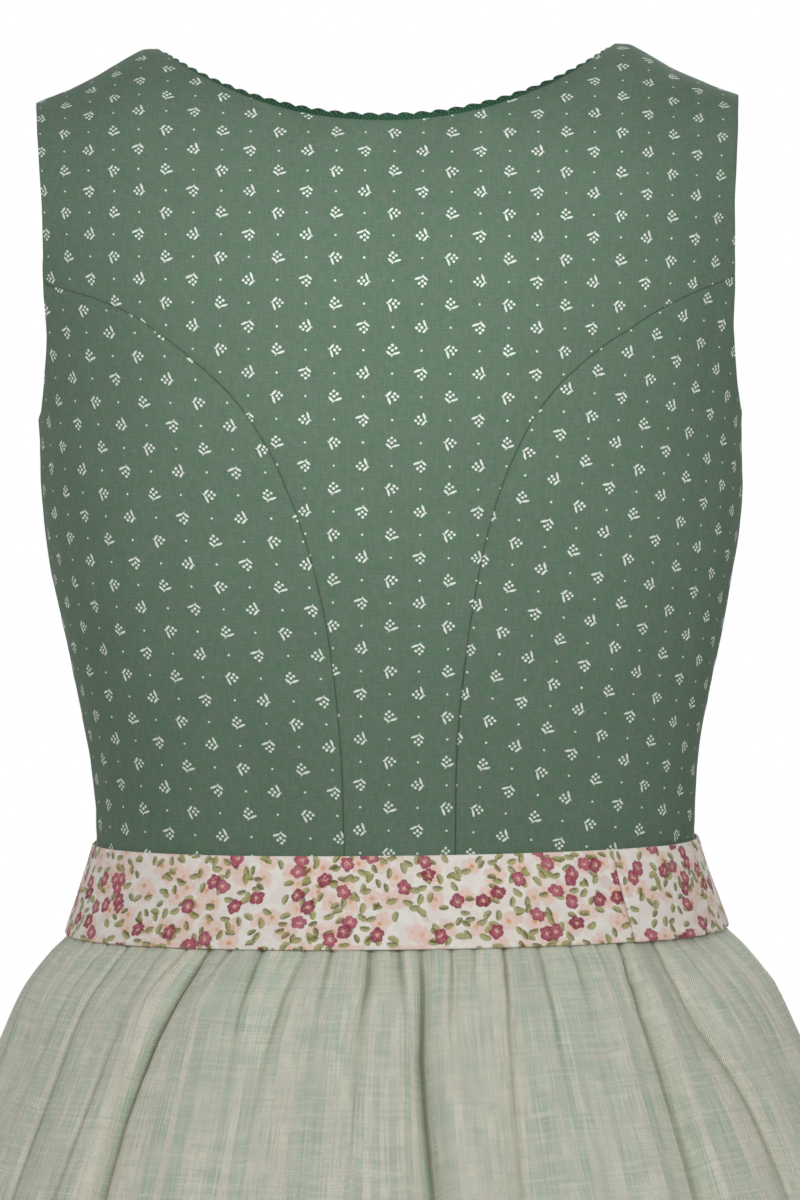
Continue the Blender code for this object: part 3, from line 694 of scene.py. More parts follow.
def panel_uvs(name, places):
    """Where the print lies on a piece, in metres of cloth, as seen from outside."""
    turn, drop = places.T
    wide, down = cloth_lengths(turn, drop)
    reference = -ARCH_DROP if name.startswith("front") else ARCH_DROP
    level = cloth_lengths(turn, np.full_like(drop, reference))[1]
    back = reference > 0
    u = -wide if back else wide
    v = level - down if back else down - level
    across, up, shift = PANEL_GRAIN[name]
    return np.column_stack([u, v]) @ np.array([across, up]).T + shift


def crease_height(places, table, sign):
    """Height of the creases of one side of the bodice at (turn, drop) points."""
    points = flat(places)
    height = np.zeros(len(points))
    for x1, drop1, x2, drop2, peak, width in table:
        ends = flat([(turn_at(x, drop), sign * drop) for x, drop in ((x1, drop1), (x2, drop2))])
        line = ends[1] - ends[0]
        t = (points - ends[0]) @ line / (line @ line)
        off = points - ends[0] - np.clip(t, 0, 1)[:, None] * line
        beyond = np.linalg.norm(off, axis=1)
        taper = 0.55 + 0.45 * np.sin(math.pi * np.clip(t, 0, 1))
        height += peak * MM * taper * np.exp(-((beyond / (width * MM)) ** 2))
    return height


def bodice_height(places, seams, pitch):
    """How far the cloth stands off its smooth form: seams, puckers, creases and soft waves."""
    height = crease_height(places, BACK_CREASES, 1) * (places[:, 1] > 0)
    height += crease_height(places, FRONT_CREASES, -1) * (places[:, 1] < 0)
    points = flat(places)
    for k, line in enumerate(seams):
        gap, index = nearest(points, flat(line))
        along = index * pitch
        height -= 0.00030 * np.exp(-((gap / 0.0028) ** 2))
        pucker = np.sin(along * 2 * math.pi / 0.0115 + k) * (0.6 + 0.4 * np.sin(along * 61 + 2 * k))
        height += 0.00013 * pucker * np.exp(-gap / 0.0085) * np.minimum(gap / 0.003, 1)
    x, y = points.T
    broad = np.sin(x * 71 + 2.0 * np.sin(y * 23)) * np.sin(y * 57 + 1.3 + 1.7 * np.sin(x * 31))
    small = np.sin(x * 190 + y * 60) * np.sin(y * 170 - x * 45 + 0.7)
    return height + 0.00035 * broad + 0.00012 * small


def build_panel(name, outline, seams, pitch, materials):
    places, triangles = panel_mesh(outline, pitch)
    base = bodice_point(*places.T)
    normals = bodice_normal(*places.T)
    points = base + normals * bodice_height(places, seams, pitch)[:, None]
    a, b, c = (base[triangles[:, k]] for k in range(3))
    facing = (np.cross(b - a, c - a) * normals[triangles[:, 0]]).sum()
    edge = flat(outline)
    area = np.cross(edge, np.roll(edge, -1, axis=0)).sum()
    loop = np.arange(len(outline))
    if facing < 0:
        triangles = triangles[:, ::-1]
    if (area > 0) != (facing > 0):
        loop = loop[::-1]
    uvs = panel_uvs(name, places)
    wall = (BODICE_WALL, BODICE_RIM, SEAM_LINE)
    name = "cloth_" + name
    # Every rounded edge of the piece gets full painted shade, which draws its seams, neck and armholes
    # as dark lines.
    return make_shell(name, points, normals, triangles, loop, uvs, wall, materials, rim_shade=1.0)


# Skirt and apron.


def section(table, turn, drop):
    """Points and flat outward directions of a section; turn goes round from the middle back."""
    angle = np.radians(turn)
    width = table_value(table, 1, drop)
    depth = np.where(np.cos(angle) >= 0, table_value(table, 2, drop), table_value(table, 3, drop))
    s = signed_power(np.sin(angle), 2 / ROUNDNESS)
    c = signed_power(np.cos(angle), 2 / ROUNDNESS)
    height = -drop + 0 * angle
    outward = [signed_power(s, ROUNDNESS - 1) / width, signed_power(c, ROUNDNESS - 1) / depth]
    outward = np.stack([*outward, 0 * height], axis=-1)
    return np.stack([width * s, depth * c, height], axis=-1), unit(outward)


def valley_rows():
    """The table of valleys with one more on each side, so that it closes."""
    rows = np.array(SKIRT_VALLEYS)
    return np.vstack([rows[-8:] - (360, 360, 0), rows, rows[:2] + (360, 360, 0)])


def folded(place, drop):
    """Turn and dip of the large folds; place is the turn that a line of cloth has at the waist."""
    rows = valley_rows()
    share = table_value(SKIRT_SECTIONS, 4, drop)
    drift = np.maximum(share, eased(drop, BAND_BOTTOM, 0.47))
    i = np.clip(np.searchsorted(rows[:, 0], place, side="right") - 1, 0, len(rows) - 2)
    phase = (place - rows[i, 0]) / (rows[i + 1, 0] - rows[i, 0])
    start = rows[i, 0] + (rows[i, 1] - rows[i, 0]) * drift
    end = rows[i + 1, 0] + (rows[i + 1, 1] - rows[i + 1, 0]) * drift
    depth = rows[i, 2] + (rows[i + 1, 2] - rows[i, 2]) * phase
    ease = 0.45 + 0.55 * eased(drop, 0.42, 0.62)
    dip = depth * share * ease * np.abs(np.cos(math.pi * phase)) ** FOLD_SHARPNESS
    ripple = 0.0022 * share * np.sin(place * 1.21 + 5 * drop) * np.sin(place * 0.53 + 1.0)
    return start + (end - start) * phase, dip + ripple


def fold_lines(folds, drop):
    """Turn, depth and half width of every fold at the given drops, one row for each drop."""
    lines = []
    for stations in folds:
        keys = BAND_BOTTOM + MM * np.array([station[0] for station in stations])
        turn, depth, width = (
            np.interp(drop, keys, [station[k] for station in stations]) for k in (1, 2, 3)
        )
        beyond = eased(drop, keys[-1] + 0.06, keys[-1])
        lines.append((turn, FOLD_DEPTH * depth**1.4 * MM * beyond, width * MM))
    return [np.array(values).T for values in zip(*lines)]


def drifted(turn, place, drop, folds):
    """Moves the lines of cloth sideways, so that they run along the folds."""
    tops = [stations[0][1] for stations in folds]
    order = np.argsort(tops)
    tops = np.array(tops)[order]
    lines = fold_lines(folds, drop[:, 0])[0][:, order]
    shifted = np.empty_like(turn)
    for k, height in enumerate(drop[:, 0]):
        smooth = folded(tops, np.full_like(tops, height))[0]
        ends = (place.min() - 1.0, place.max() + 1.0)
        keys = np.concatenate([ends[:1], tops, ends[1:]])
        offsets = np.concatenate([[0.0], lines[k] - smooth, [0.0]])
        shifted[k] = np.interp(place[k], keys, offsets) * eased(height, *DRIFT_END)
    return turn + shifted


def fold_dip(turn, drop, folds):
    """Depth of the folds that run down from the band, and each point's painted shade in their creases.

    A fold is a sharp valley in a soft one, with a low ridge on both sides.
    """
    point = section(SKIRT_SECTIONS, turn, drop)[0]
    radius = np.linalg.norm(point[..., :2], axis=-1)
    dip = np.zeros(turn.shape)
    crease_shade = np.zeros(turn.shape)
    for path, depth, width in zip(*[values.T for values in fold_lines(folds, drop[:, 0])]):
        gap = np.abs(np.radians(turn - path[:, None]) * radius)
        spread = width[:, None]
        sharp = np.exp(-gap / (0.38 * spread))
        soft = np.exp(-((gap / (1.15 * spread)) ** 2))
        ridge = np.exp(-(((gap - 1.9 * spread) / (0.8 * spread)) ** 2))
        dip += depth[:, None] * (0.3 * soft + 0.7 * sharp - 0.06 * ridge)
        # Painted shade, strongest in the sharp core of a deep fold.
        strong = np.clip(depth[:, None] / (5 * MM), 0, 1)
        crease_shade += np.exp(-((gap / (0.42 * MM + 0.16 * spread)) ** 2)) * strong
    return dip, np.clip(crease_shade, 0, 1)


def front_folds():
    """The apron's gathers at the band: uneven, set by a rule, in the form of the back's table."""
    folds = []
    turn = APRON_EDGES[0] + 2.0
    k = 0
    while turn < APRON_EDGES[1] - 1.5:
        uneven = math.sin(2.4 * k) + 0.6 * math.sin(5.1 * k + 1)
        length = max(44 + 34 * math.sin(1.9 * k + 0.5) + 18 * uneven, 18)
        spread = (turn - 180) * 0.03
        depth = 2.4 + 0.45 * uneven
        folds.append(
            (
                (0, turn, depth, 1.3),
                (0.4 * length, turn + 0.6 * spread, 0.7 * depth, 1.9),
                (length, turn + spread, 0.3 * depth, 3.2),
                (2.2 * length, turn + 1.3 * spread, 0.0, 4.0),
            )
        )
        turn += 4.9 + 1.1 * uneven
        k += 1
    return tuple(folds)


def skirt_rows(first, last, fine):
    """Drops of the rows of a skirt grid, close together below the band."""
    steps = []
    drop = first
    while drop < last:
        steps.append(drop)
        drop += fine * (1 + 3.2 * eased(drop, 0.43, 0.62) + 1.5 * eased(drop, 0.6, 0.9))
    if last - steps[-1] < 0.5 * fine:
        steps.pop()
    return np.array(steps + [last])


def skirt_places(first, last, folds, count):
    """Places of the columns of a skirt grid, right to left, closer together at the folds."""
    fine = np.linspace(first, last, 4000)
    density = np.ones_like(fine)
    for stations in folds:
        deepest = max(station[2] for station in stations)
        density += 3.5 * np.exp(-(((fine - stations[0][1]) / 0.7) ** 2)) * min(deepest / 3.0, 1.3)
    total = np.concatenate([[0], np.cumsum((density[1:] + density[:-1]) / 2)])
    return np.interp(np.linspace(0, total[-1], count), total, fine)[::-1]


def unpressed(turn, _drop):
    """Nothing lies on this stretch of skirt."""
    return 0.0 * turn


def beside(turn, drop):
    """The apron's edges sink a little, so that the back covers them."""
    reach = eased(drop, 0.398, 0.413) * eased(drop, 0.78, 0.60)
    left = np.exp(-(((turn - 99.0) / 11.0) ** 2))
    right = np.exp(-(((turn - 261.0) / 11.0) ** 2))
    sunk = 0.0056 - 0.0040 * eased(drop, 0.418, 0.436) + 0.0018 * eased(drop, 0.450, 0.465)
    return reach * (0.0050 * left + sunk * right)


def under_apron(turn, drop):
    """The skirt lies a little lower where the apron's gathers press on it."""
    low, high = APRON_EDGES
    under = eased(turn, low - 1.5, low + 2.5) * eased(turn, high + 1.5, high - 2.5)
    pressed = 0.0042 * under * (1 - eased(drop, 0.60, 0.72)) * eased(drop, 0.400, 0.408)
    return pressed + beside(turn, drop)


def skirt_surface(places, drops, folds, lowered):
    """The outer face of a stretch of skirt, row by row, with its folds and the painted shade of their
    creases.
    """
    place, drop = np.meshgrid(places, drops)
    turn, dip = folded(place, drop)
    crease_shade = np.zeros(turn.shape)
    if folds:
        turn = drifted(turn, place, drop, folds)
        depth, crease_shade = fold_dip(turn, np.maximum(drop, BAND_BOTTOM), folds)
        held = 0.55 + 0.45 * eased(drop, BAND_BOTTOM, BAND_BOTTOM + 0.012)
        dip = dip + depth * eased(drop, 0.392, 0.404) * held
        crease_shade = crease_shade * held
    point, outward = section(SKIRT_SECTIONS, turn, drop)
    return point - outward * (dip + lowered(turn, drop))[..., None], crease_shade.ravel()


# Each half of the skirt: name, turns of its sides, folds, columns and how it is lowered.
SKIRT_HALVES = (
    ("skirt_back", -SIDE_TURN, SIDE_TURN, BACK_FOLDS, BACK_COLUMNS, unpressed),
    ("skirt_front", SIDE_TURN, 360 - SIDE_TURN, (), FRONT_COLUMNS, under_apron),
)


def skirt_uvs(grid, drops):
    """Metres of cloth across, measured on one row, and down each column."""
    row = int(np.argmin(np.abs(drops - UV_ROW)))
    wide = lengths_along(grid, 1)[row]
    long = lengths_along(grid, 0)
    return np.column_stack([np.tile(wide, len(drops)), -long.ravel()])


def apron_uvs(grid):
    """Flat places on the apron's cloth, measured from its middle along each row."""
    wide = lengths_along(grid, 1)
    wide = wide - wide[:, [wide.shape[1] // 2]]
    long = lengths_along(grid, 0).mean(axis=1)
    return np.column_stack([wide.ravel(), -np.repeat(long, grid.shape[1])])


def build_grid_shell(name, grid, uvs, edge, materials, creases=0.0):
    """A shell from a grid of points whose rows go down and whose columns go to the left."""
    rows, columns = grid.shape[:2]
    normals = grid_normals(grid).reshape(-1, 3)
    points = grid.reshape(-1, 3)
    faces = grid_faces(rows, columns)
    loop = grid_loop(rows, columns)
    return make_shell(name, points, normals, faces, loop, uvs, edge, materials, creases)


# Shader expressions.


def math_operator(operation, swapped=False):
    """A method that adds a Math node for two values."""

    def method(self, other):
        return self.graph.math(operation, *((other, self) if swapped else (self, other)))

    return method


class Term:
    """A socket that gives a value. Arithmetic on numbers adds Math nodes."""

    def __init__(self, graph, socket):
        self.graph = graph
        self.socket = socket

    __add__ = __radd__ = math_operator("ADD")
    __mul__ = __rmul__ = math_operator("MULTIPLY")
    __sub__ = math_operator("SUBTRACT")
    __rsub__ = math_operator("SUBTRACT", swapped=True)
    __truediv__ = math_operator("DIVIDE")
    __pow__ = math_operator("POWER")

    def __neg__(self):
        return self * -1.0

    def __abs__(self):
        return self.graph.math("ABSOLUTE", self)


class Nodes:
    """A node tree that is built from expressions."""

    def __init__(self, tree):
        self.tree = tree
        tree.nodes.clear()

    def node(self, kind, settings, values):
        """Adds a node, applies its settings, then gives its sockets values or links."""
        made = self.tree.nodes.new(kind)
        for key, value in settings.items():
            setattr(made, key, value)
        for key, value in values.items():
            socket = made.inputs[key]
            if isinstance(value, Term):
                self.tree.links.new(value.socket, socket)
            elif socket.type == "RGBA":
                socket.default_value = (*value, 1.0)
            else:
                socket.default_value = value
        return made

    def term(self, kind, settings, values, output=0):
        return Term(self, self.node(kind, settings, values).outputs[output])

    def math(self, operation, *values):
        return self.term("ShaderNodeMath", {"operation": operation}, dict(enumerate(values)))

    def combined(self, x, y, z=0.0):
        return self.term("ShaderNodeCombineXYZ", {}, {0: x, 1: y, 2: z})

    def parts(self, vector):
        made = self.node("ShaderNodeSeparateXYZ", {}, {0: vector})
        return [Term(self, made.outputs[k]) for k in range(3)]


class Graph(Nodes):
    """The node tree of one material."""

    def __init__(self, name):
        self.material = bpy.data.materials.new(name)
        self.material.use_nodes = True
        super().__init__(self.material.node_tree)

    def fade(self, value, low, high):
        """0 at low, 1 at high and smooth between; low may be the larger."""
        keys = {"Value": value, "From Min": low, "From Max": high}
        return self.term("ShaderNodeMapRange", {"interpolation_type": "SMOOTHSTEP"}, keys)

    def most(self, first, *others):
        for other in others:
            first = self.math("MAXIMUM", first, other)
        return first

    def mixed(self, factor, first, second, blend="MIX"):
        settings = {"data_type": "RGBA", "blend_type": blend}
        return self.term("ShaderNodeMix", settings, {0: factor, 6: first, 7: second}, 2)

    def layered(self, base, *layers):
        """The base under layers of colour: value, where it starts, where it is full, strength."""
        for colour, value, low, high, strength in layers:
            base = self.mixed(self.fade(value, low, high) * strength, base, colour)
        return base

    def varied(self, base, lift):
        """The base, darker where the lift is below 1 and lighter where it is above."""
        return self.mixed(1.0, base, self.combined(lift, lift, lift), "MULTIPLY")

    def cloth_place(self):
        """The place on the cloth in millimetres, across and up."""
        u, v, _ = self.parts(self.term("ShaderNodeUVMap", {"uv_map": "cloth"}, {}))
        return u * 1000.0, v * 1000.0

    def object_place(self):
        """The place in the object's own space, in metres."""
        return self.parts(self.term("ShaderNodeTexCoord", {}, {}, "Object"))

    def attribute(self, name, output):
        return self.term("ShaderNodeAttribute", {"attribute_name": name}, {}, output)

    def noise(self, x, y, detail=2.0, roughness=0.5):
        """Soft noise of about 0 to 1 on a plane, one lump for each unit."""
        values = {"Vector": self.combined(x, y), "Scale": 1.0, "Detail": detail, "Roughness": roughness}
        return self.term("ShaderNodeTexNoise", {"noise_dimensions": "2D"}, values)

    def scatter(self, x, y, pitch, evenness):
        """One point in each cell: offsets from it, and three random numbers that go with it."""
        values = {"Vector": self.combined(x / pitch, y / pitch), "Scale": 1.0, "Randomness": evenness}
        made = self.node("ShaderNodeTexVoronoi", {"voronoi_dimensions": "2D"}, values)
        px, py, _ = self.parts(Term(self, made.outputs["Position"]))
        colour = self.node("ShaderNodeSeparateColor", {}, {0: Term(self, made.outputs["Color"])})
        chances = [Term(self, colour.outputs[k]) for k in range(3)]
        return x - px * pitch, y - py * pitch, chances

    def turned(self, x, y, angle):
        cosine = self.math("COSINE", angle)
        sine = self.math("SINE", angle)
        return x * cosine - y * sine, x * sine + y * cosine

    def length(self, x, y):
        return self.math("SQRT", x * x + y * y)

    def shaded(self, colour):
        """The colour with painted shade, darker and browner deep in the creases and on rims that carry
        it.
        """
        crease_shade = self.attribute("crease_shade", "Fac")
        return self.mixed(crease_shade * CREASE_SHADE_STRENGTH, colour, CREASE_SHADE_TINT, "MULTIPLY")

    def finish(self, colour, height, distance, roughness, sheen):
        """Joins colour and bump to a cloth shader."""
        values = {"Height": height, "Distance": distance, "Strength": 1.0}
        bump = self.term("ShaderNodeBump", {}, values)
        values = {
            "Base Color": colour,
            "Roughness": roughness,
            "Normal": bump,
            "Sheen Weight": sheen,
            "Sheen Roughness": 0.5,
            "Specular IOR Level": 0.25,
        }
        shader = self.term("ShaderNodeBsdfPrincipled", {}, values)
        self.node("ShaderNodeOutputMaterial", {}, {0: shader})
        return self.material


def disc(graph, x, y, centre, radius, soft):
    away = graph.length(x - centre[0], y - centre[1])
    return graph.fade(away, radius + soft, radius - soft)


def blade(graph, x, y, x1, y1, x2, y2, width, soft):
    """A leaf-shaped stroke between two points, blunt at both ends."""
    dx, dy = x2 - x1, y2 - y1
    dot = (x - x1) * dx + (y - y1) * dy
    t = graph.math("MINIMUM", graph.math("MAXIMUM", dot / (dx * dx + dy * dy), 0.0), 1.0)
    away = graph.length(x - x1 - t * dx, y - y1 - t * dy)
    middle = t * 2.0 - 1.0
    radius = width / 2 * (1.0 - middle * middle * 0.35)
    return graph.fade(away - radius, soft, -soft)


def sprig_mask(graph, u, v, column_width, row_height):
    """Where the print's sprigs and dots lie; they alternate on a lattice and face four ways."""
    column = graph.math("FLOOR", u / column_width + 0.5)
    row = graph.math("FLOOR", v / row_height + 0.5)
    x = u - column * column_width
    y = v - row * row_height
    dot_cell = graph.math("FLOORED_MODULO", column + row, 2.0)
    half_column = graph.math("FLOOR", graph.math("FLOORED_MODULO", column, 4.0) / 2.0)
    row_of_four = graph.math("FLOORED_MODULO", -row, 4.0)
    half_row = graph.math("FLOOR", row_of_four / 2.0)
    odd_row = graph.math("FLOORED_MODULO", row, 2.0)
    facing = odd_row * 2.0 + abs(half_column - half_row)
    px, py = graph.turned(x, y, facing * (math.pi / 2))
    marks = [disc(graph, px, py, centre, BERRY_RADIUS, SPRIG_SOFTNESS) for centre in SPRIG_BERRIES]
    marks += [blade(graph, px, py, *ends, SPRIG_SOFTNESS) for ends in SPRIG_BLADES]
    sprig = graph.most(*marks)
    dot = disc(graph, x, y, (0.0, 0.0), SPRIG_DOT, SPRIG_SOFTNESS)
    return sprig * (1.0 - dot_cell) + dot * dot_cell


def thread_grain(graph, u, v, pitch):
    """Fine warp and weft threads of uneven thickness, from about -1 to 1."""
    warp = graph.noise(u / pitch, v / (pitch * 22), 1.0)
    weft = graph.noise(u / (pitch * 22) + 7.3, v / pitch, 1.0)
    return (warp + weft) * 2.0 - 2.0


def bodice_material(name, ground, motif, size, wrong_side):
    """Plain-woven cotton with a discharge print of sprigs and dots."""
    graph = Graph(name)
    u, v = graph.cloth_place()
    wobble_u = graph.noise(u / 3.1, v / 3.1, 1.0) - 0.5
    wobble_v = graph.noise(u / 3.1 + 9.0, v / 3.1 + 4.0, 1.0) - 0.5
    mask = sprig_mask(graph, u + wobble_u * 0.5, v + wobble_v * 0.5, *size)
    grain = thread_grain(graph, u, v, 0.42)
    cloud = graph.noise(u / 46.0, v / 46.0, 3.0) - 0.5
    slub = graph.noise(u / 0.9, v / 5.0, 2.0) + graph.noise(u / 5.0, v / 0.9 + 7.0, 2.0) - 1.0
    speck = graph.noise(u / 0.6 + 9.0, v / 0.6, 1.0) - 0.5
    lift = graph.math("MULTIPLY_ADD", grain, 0.10, 1.0) + cloud * 0.14 + slub * 0.36 + speck * 0.30
    base = graph.varied(ground, lift)
    fresh = tuple(c * f for c, f in zip(ground, (0.80, 1.04, 0.80)))
    grey = tuple(c * f for c, f in zip(ground, (1.22, 0.99, 1.10)))
    patch = graph.noise(u / 2.6, v / 5.5 + 3.0, 3.0, 0.6)
    base = graph.layered(base, (fresh, patch, 0.50, 0.68, 0.75), (grey, patch, 0.48, 0.32, 0.65))
    worn = graph.fade(graph.noise(u / 0.7, v / 0.7 + 31.0, 1.0), 0.16, 0.34)
    strength = (0.12 if wrong_side else 0.97) * (0.45 + 0.55 * worn)
    colour = graph.mixed(mask * strength, base, motif)
    height = grain * 0.5 + mask * (0.0 if wrong_side else 0.35)
    return graph.finish(graph.shaded(colour), height, 0.00009, 0.86, 0.04)


def flower(graph, x, y, chances, radius, petals, lump, soft):
    """A flower with rounded petals, as a mask and the distance from its middle."""
    away = graph.length(x, y)
    angle = graph.math("ARCTAN2", y, x)
    petal = abs(graph.math("COSINE", angle * (petals / 2) + chances[0] * 6.28)) - 1.0
    uneven = graph.math("COSINE", angle * 2.0 + chances[1] * 6.28)
    edge = radius * (1.0 + petal * lump + uneven * 0.09)
    return graph.fade(away - edge, soft, -soft), away


def leaf_layer(graph, u, v, pitch, shift, chance):
    """Scattered brush-stroke leaves: a mask, how pale the leaf is, and which side of it this is."""
    x, y, chances = graph.scatter(u + shift, v - shift * 0.7, pitch, 0.72)
    x, y = graph.turned(x, y, chances[0] * 6.28)
    bent = y + x * x * 0.05 - 0.15
    long = 2.15 + chances[1] * 0.65
    taper = 1.0 - (x / long) ** 2.0
    wide = (1.20 + chances[1] * 0.38) * graph.math("MAXIMUM", taper, 0.0) ** 0.55
    body = graph.fade(abs(bent) - wide, 0.12, -0.16) * graph.fade(taper, 0.0, 0.08)
    here = graph.fade(chances[2], chance, chance + 0.02)
    return body * here, chances[1], graph.fade(bent, -1.0, 1.0)


def flower_material(name, colours, wrong_side):
    """Smooth cotton with a painterly scatter of small flowers and leaves."""
    graph = Graph(name)
    u, v = graph.cloth_place()
    brush_u = graph.noise(u / 1.3, v / 1.3, 2.0) - 0.5
    brush_v = graph.noise(u / 1.3 + 5.0, v / 1.3 + 8.0, 2.0) - 0.5
    pu, pv = u + brush_u * 1.1, v + brush_v * 1.1
    dry = graph.noise(u / 0.9, v / 1.6, 2.0)
    blot = graph.noise(u / 7.0, v / 7.0 + 2.0, 2.0)
    base = graph.mixed(graph.fade(blot, 0.35, 0.65), colours["ground"], colours["ground_shade"])

    for pitch, shift in ((11.5, 0.0), (13.0, 57.0)):
        x, y, chances = graph.scatter(pu + shift, pv - shift, pitch, 0.70)
        pale, away = flower(graph, x, y, chances, 4.6, 5.0, 0.26, 0.6)
        pale = pale * graph.fade(chances[2], 0.24, 0.26)
        tone = graph.fade(graph.noise(u / 1.9, v / 1.9 + 6.0) - away * 0.03, 0.30, 0.62)
        blush = graph.mixed(tone, colours["blush_pale"], colours["blush"])
        base = graph.mixed(pale * 0.88, base, blush)
        eye = disc(graph, x, y, (0.2, 0.1), 1.0, 0.4) * pale
        base = graph.mixed(eye * (0.50 + 0.45 * chances[1]), base, colours["orange"])
        halo = graph.fade(away, 2.0, 1.2) * graph.fade(away, 0.9, 1.3) * pale
        base = graph.mixed(halo * 0.35, base, colours["yellow"])

    for pitch, shift, chance in ((6.9, 0.0, 0.47), (7.4, 41.0, 0.48), (8.2, 93.0, 0.42)):
        mask, tone, side = leaf_layer(graph, u + brush_u * 0.5, v + brush_v * 0.5, pitch, shift, chance)
        shade = graph.fade(tone * 0.5 + side * 0.6 + dry * 1.3, 0.80, 1.40)
        green = graph.mixed(shade, colours["leaf"], colours["leaf_pale"])
        base = graph.mixed(mask * (0.78 + 0.22 * dry), base, green)

    for pitch, shift, chance in ((11.8, 17.0, 0.56), (13.5, 66.0, 0.62)):
        x, y, chances = graph.scatter(pu + shift, pv + shift, pitch, 0.85)
        body, away = flower(graph, x, y, chances, 3.5, 4.0 if shift > 50 else 5.0, 0.22, 0.22)
        body = body * graph.fade(chances[2], chance, chance + 0.02)
        tone = graph.fade(dry * 3.2 - chances[1] * 1.4 - away * 0.2, -0.5, 1.1)
        wine = graph.mixed(tone, colours["burgundy"], colours["rose"])
        rim = graph.fade(away, 2.0, 3.1) * 0.45
        wine = graph.mixed(rim, wine, colours["burgundy"])
        base = graph.mixed(body * 0.94, base, wine)
        heart = graph.fade(away + brush_u * 3.4 + brush_v * 2.0, 1.2, 0.4) * body
        base = graph.mixed(heart * 0.75, base, colours["yellow"])

    grain = thread_grain(graph, u, v, 0.36)
    base = graph.varied(base, graph.math("MULTIPLY_ADD", grain, 0.035, 1.0))
    if wrong_side:
        base = graph.mixed(0.72, base, colours["ground"])
    return graph.finish(graph.shaded(base), grain, 0.00006, 0.8, 0.08)


def herringbone(graph, u, v, column, rib):
    """Height of a herringbone rib from 0 to 1; the ribs change direction at each column."""
    zigzag = abs(graph.math("FRACT", u / (2 * column)) - 0.5) * (2 * column)
    phase = (v + zigzag * 1.15) / rib
    return graph.math("MULTIPLY_ADD", graph.math("SINE", phase * (2 * math.pi)), 0.5, 0.5)


def skirt_material(name, colours, column, rib, wrong_side):
    """Herringbone cotton and linen with uneven lengthwise stripes and slubs."""
    graph = Graph(name)
    u, v = graph.cloth_place()
    sway = graph.noise(u / 30.0, v / 60.0, 1.0) * 1.5
    us = u + sway
    lower = graph.fade(v + graph.noise(u / 9.0, v / 9.0, 2.0) * 60.0, -215.0, -275.0)
    fine = us * (1.0 + graph.math("ROUND", lower))
    weave = herringbone(graph, fine, v, column, rib)
    stripe = graph.math("FLOOR", fine / column) * 3.71
    own = graph.noise(stripe, v / 380.0, 2.0)
    patch = graph.noise(stripe + 40.0, v / 14.0, 2.0, 0.6)
    band = graph.fade(own * 1.2 + patch * 0.45, 0.68, 0.98)
    base = graph.mixed(band, colours["sage"], colours["cream"])
    streak = graph.noise(us / 1.0, v / 46.0 + 11.0, 2.0)
    weft = graph.noise(us / 38.0 + 2.0, v / 1.5, 2.0)
    bar = graph.noise(us / 60.0, v / 15.0 + 5.0, 2.0)
    base = graph.layered(
        base,
        (colours["slub"], streak, 0.56, 0.68, 0.60),
        (colours["moss"], streak, 0.44, 0.32, 0.45),
        (colours["slub"], weft, 0.53, 0.68, 0.50),
        (colours["moss"], weft, 0.46, 0.28, 0.20),
        (colours["cream"], bar, 0.50, 0.72, 0.30),
    )
    gaps = graph.fade(graph.noise(us / 1.1, v / 2.0 + 17.0, 2.0), 0.30, 0.62)
    clear = graph.fade(graph.noise(stripe + 80.0, v / 30.0, 2.0), 0.38, 0.54)
    # Painted shade between the herringbone's ribs, in the rib colour, and painted highlight on their
    # tops, in the slub colour.
    ribs = graph.fade(weave, 0.55, 0.10) * (0.14 + 0.44 * clear) * (0.3 + 0.7 * gaps)
    base = graph.mixed(ribs, base, colours["rib"])
    light = graph.fade(weave, 0.45, 0.90) * (0.14 + 0.66 * clear) * (0.3 + 0.7 * gaps)
    base = graph.mixed(light, base, colours["slub"])
    grain = thread_grain(graph, u, v, 0.5)
    base = graph.varied(base, graph.math("MULTIPLY_ADD", grain, 0.09, 1.0))
    if wrong_side:
        base = graph.mixed(0.35, base, colours["sage"])
    height = weave * 0.8 + streak * 0.8 + grain * 0.2
    return graph.finish(graph.shaded(base), height, 0.00022, 0.88, 0.06)


def braid_material(name, colour, light):
    """Shiny cotton braid with plaited threads, whose lighter stripes are painted highlight."""
    graph = Graph(name)
    along, side, _ = graph.parts(graph.attribute("braid_place", "Vector"))
    slope = abs(side) * 1400.0
    plait = graph.math("SINE", along * (2 * math.pi / 0.0016) + slope)
    tone = graph.fade(plait, -0.7, 0.9)
    # Painted highlight: the light colour on the ridges of the plait, over the braid's own dark green.
    base = graph.mixed(tone * 0.8, colour, light)
    return graph.finish(base, tone, 0.00012, 0.6, 0.15)


def thread_material(name, colour):
    """Sewing thread with a fine twist."""
    graph = Graph(name)
    x, y, z = graph.object_place()
    twist = graph.math("SINE", (x + y + z) * 9000.0)
    shade = tuple(c * 0.72 for c in colour)
    base = graph.layered(shade, (colour, twist, -1.0, 1.0, 0.6))
    return graph.finish(base, twist, 0.00003, 0.55, 0.1)


def floor_material(name, colour):
    graph = Graph(name)
    x, y, _ = graph.object_place()
    speck = graph.noise(x * 40.0, y * 40.0, 3.0)
    base = graph.layered(colour, ((0.6, 0.6, 0.6), speck, 0.3, 0.7, 0.06))
    return graph.finish(base, speck, 0.0002, 0.9, 0.0)


# Geometry Nodes.


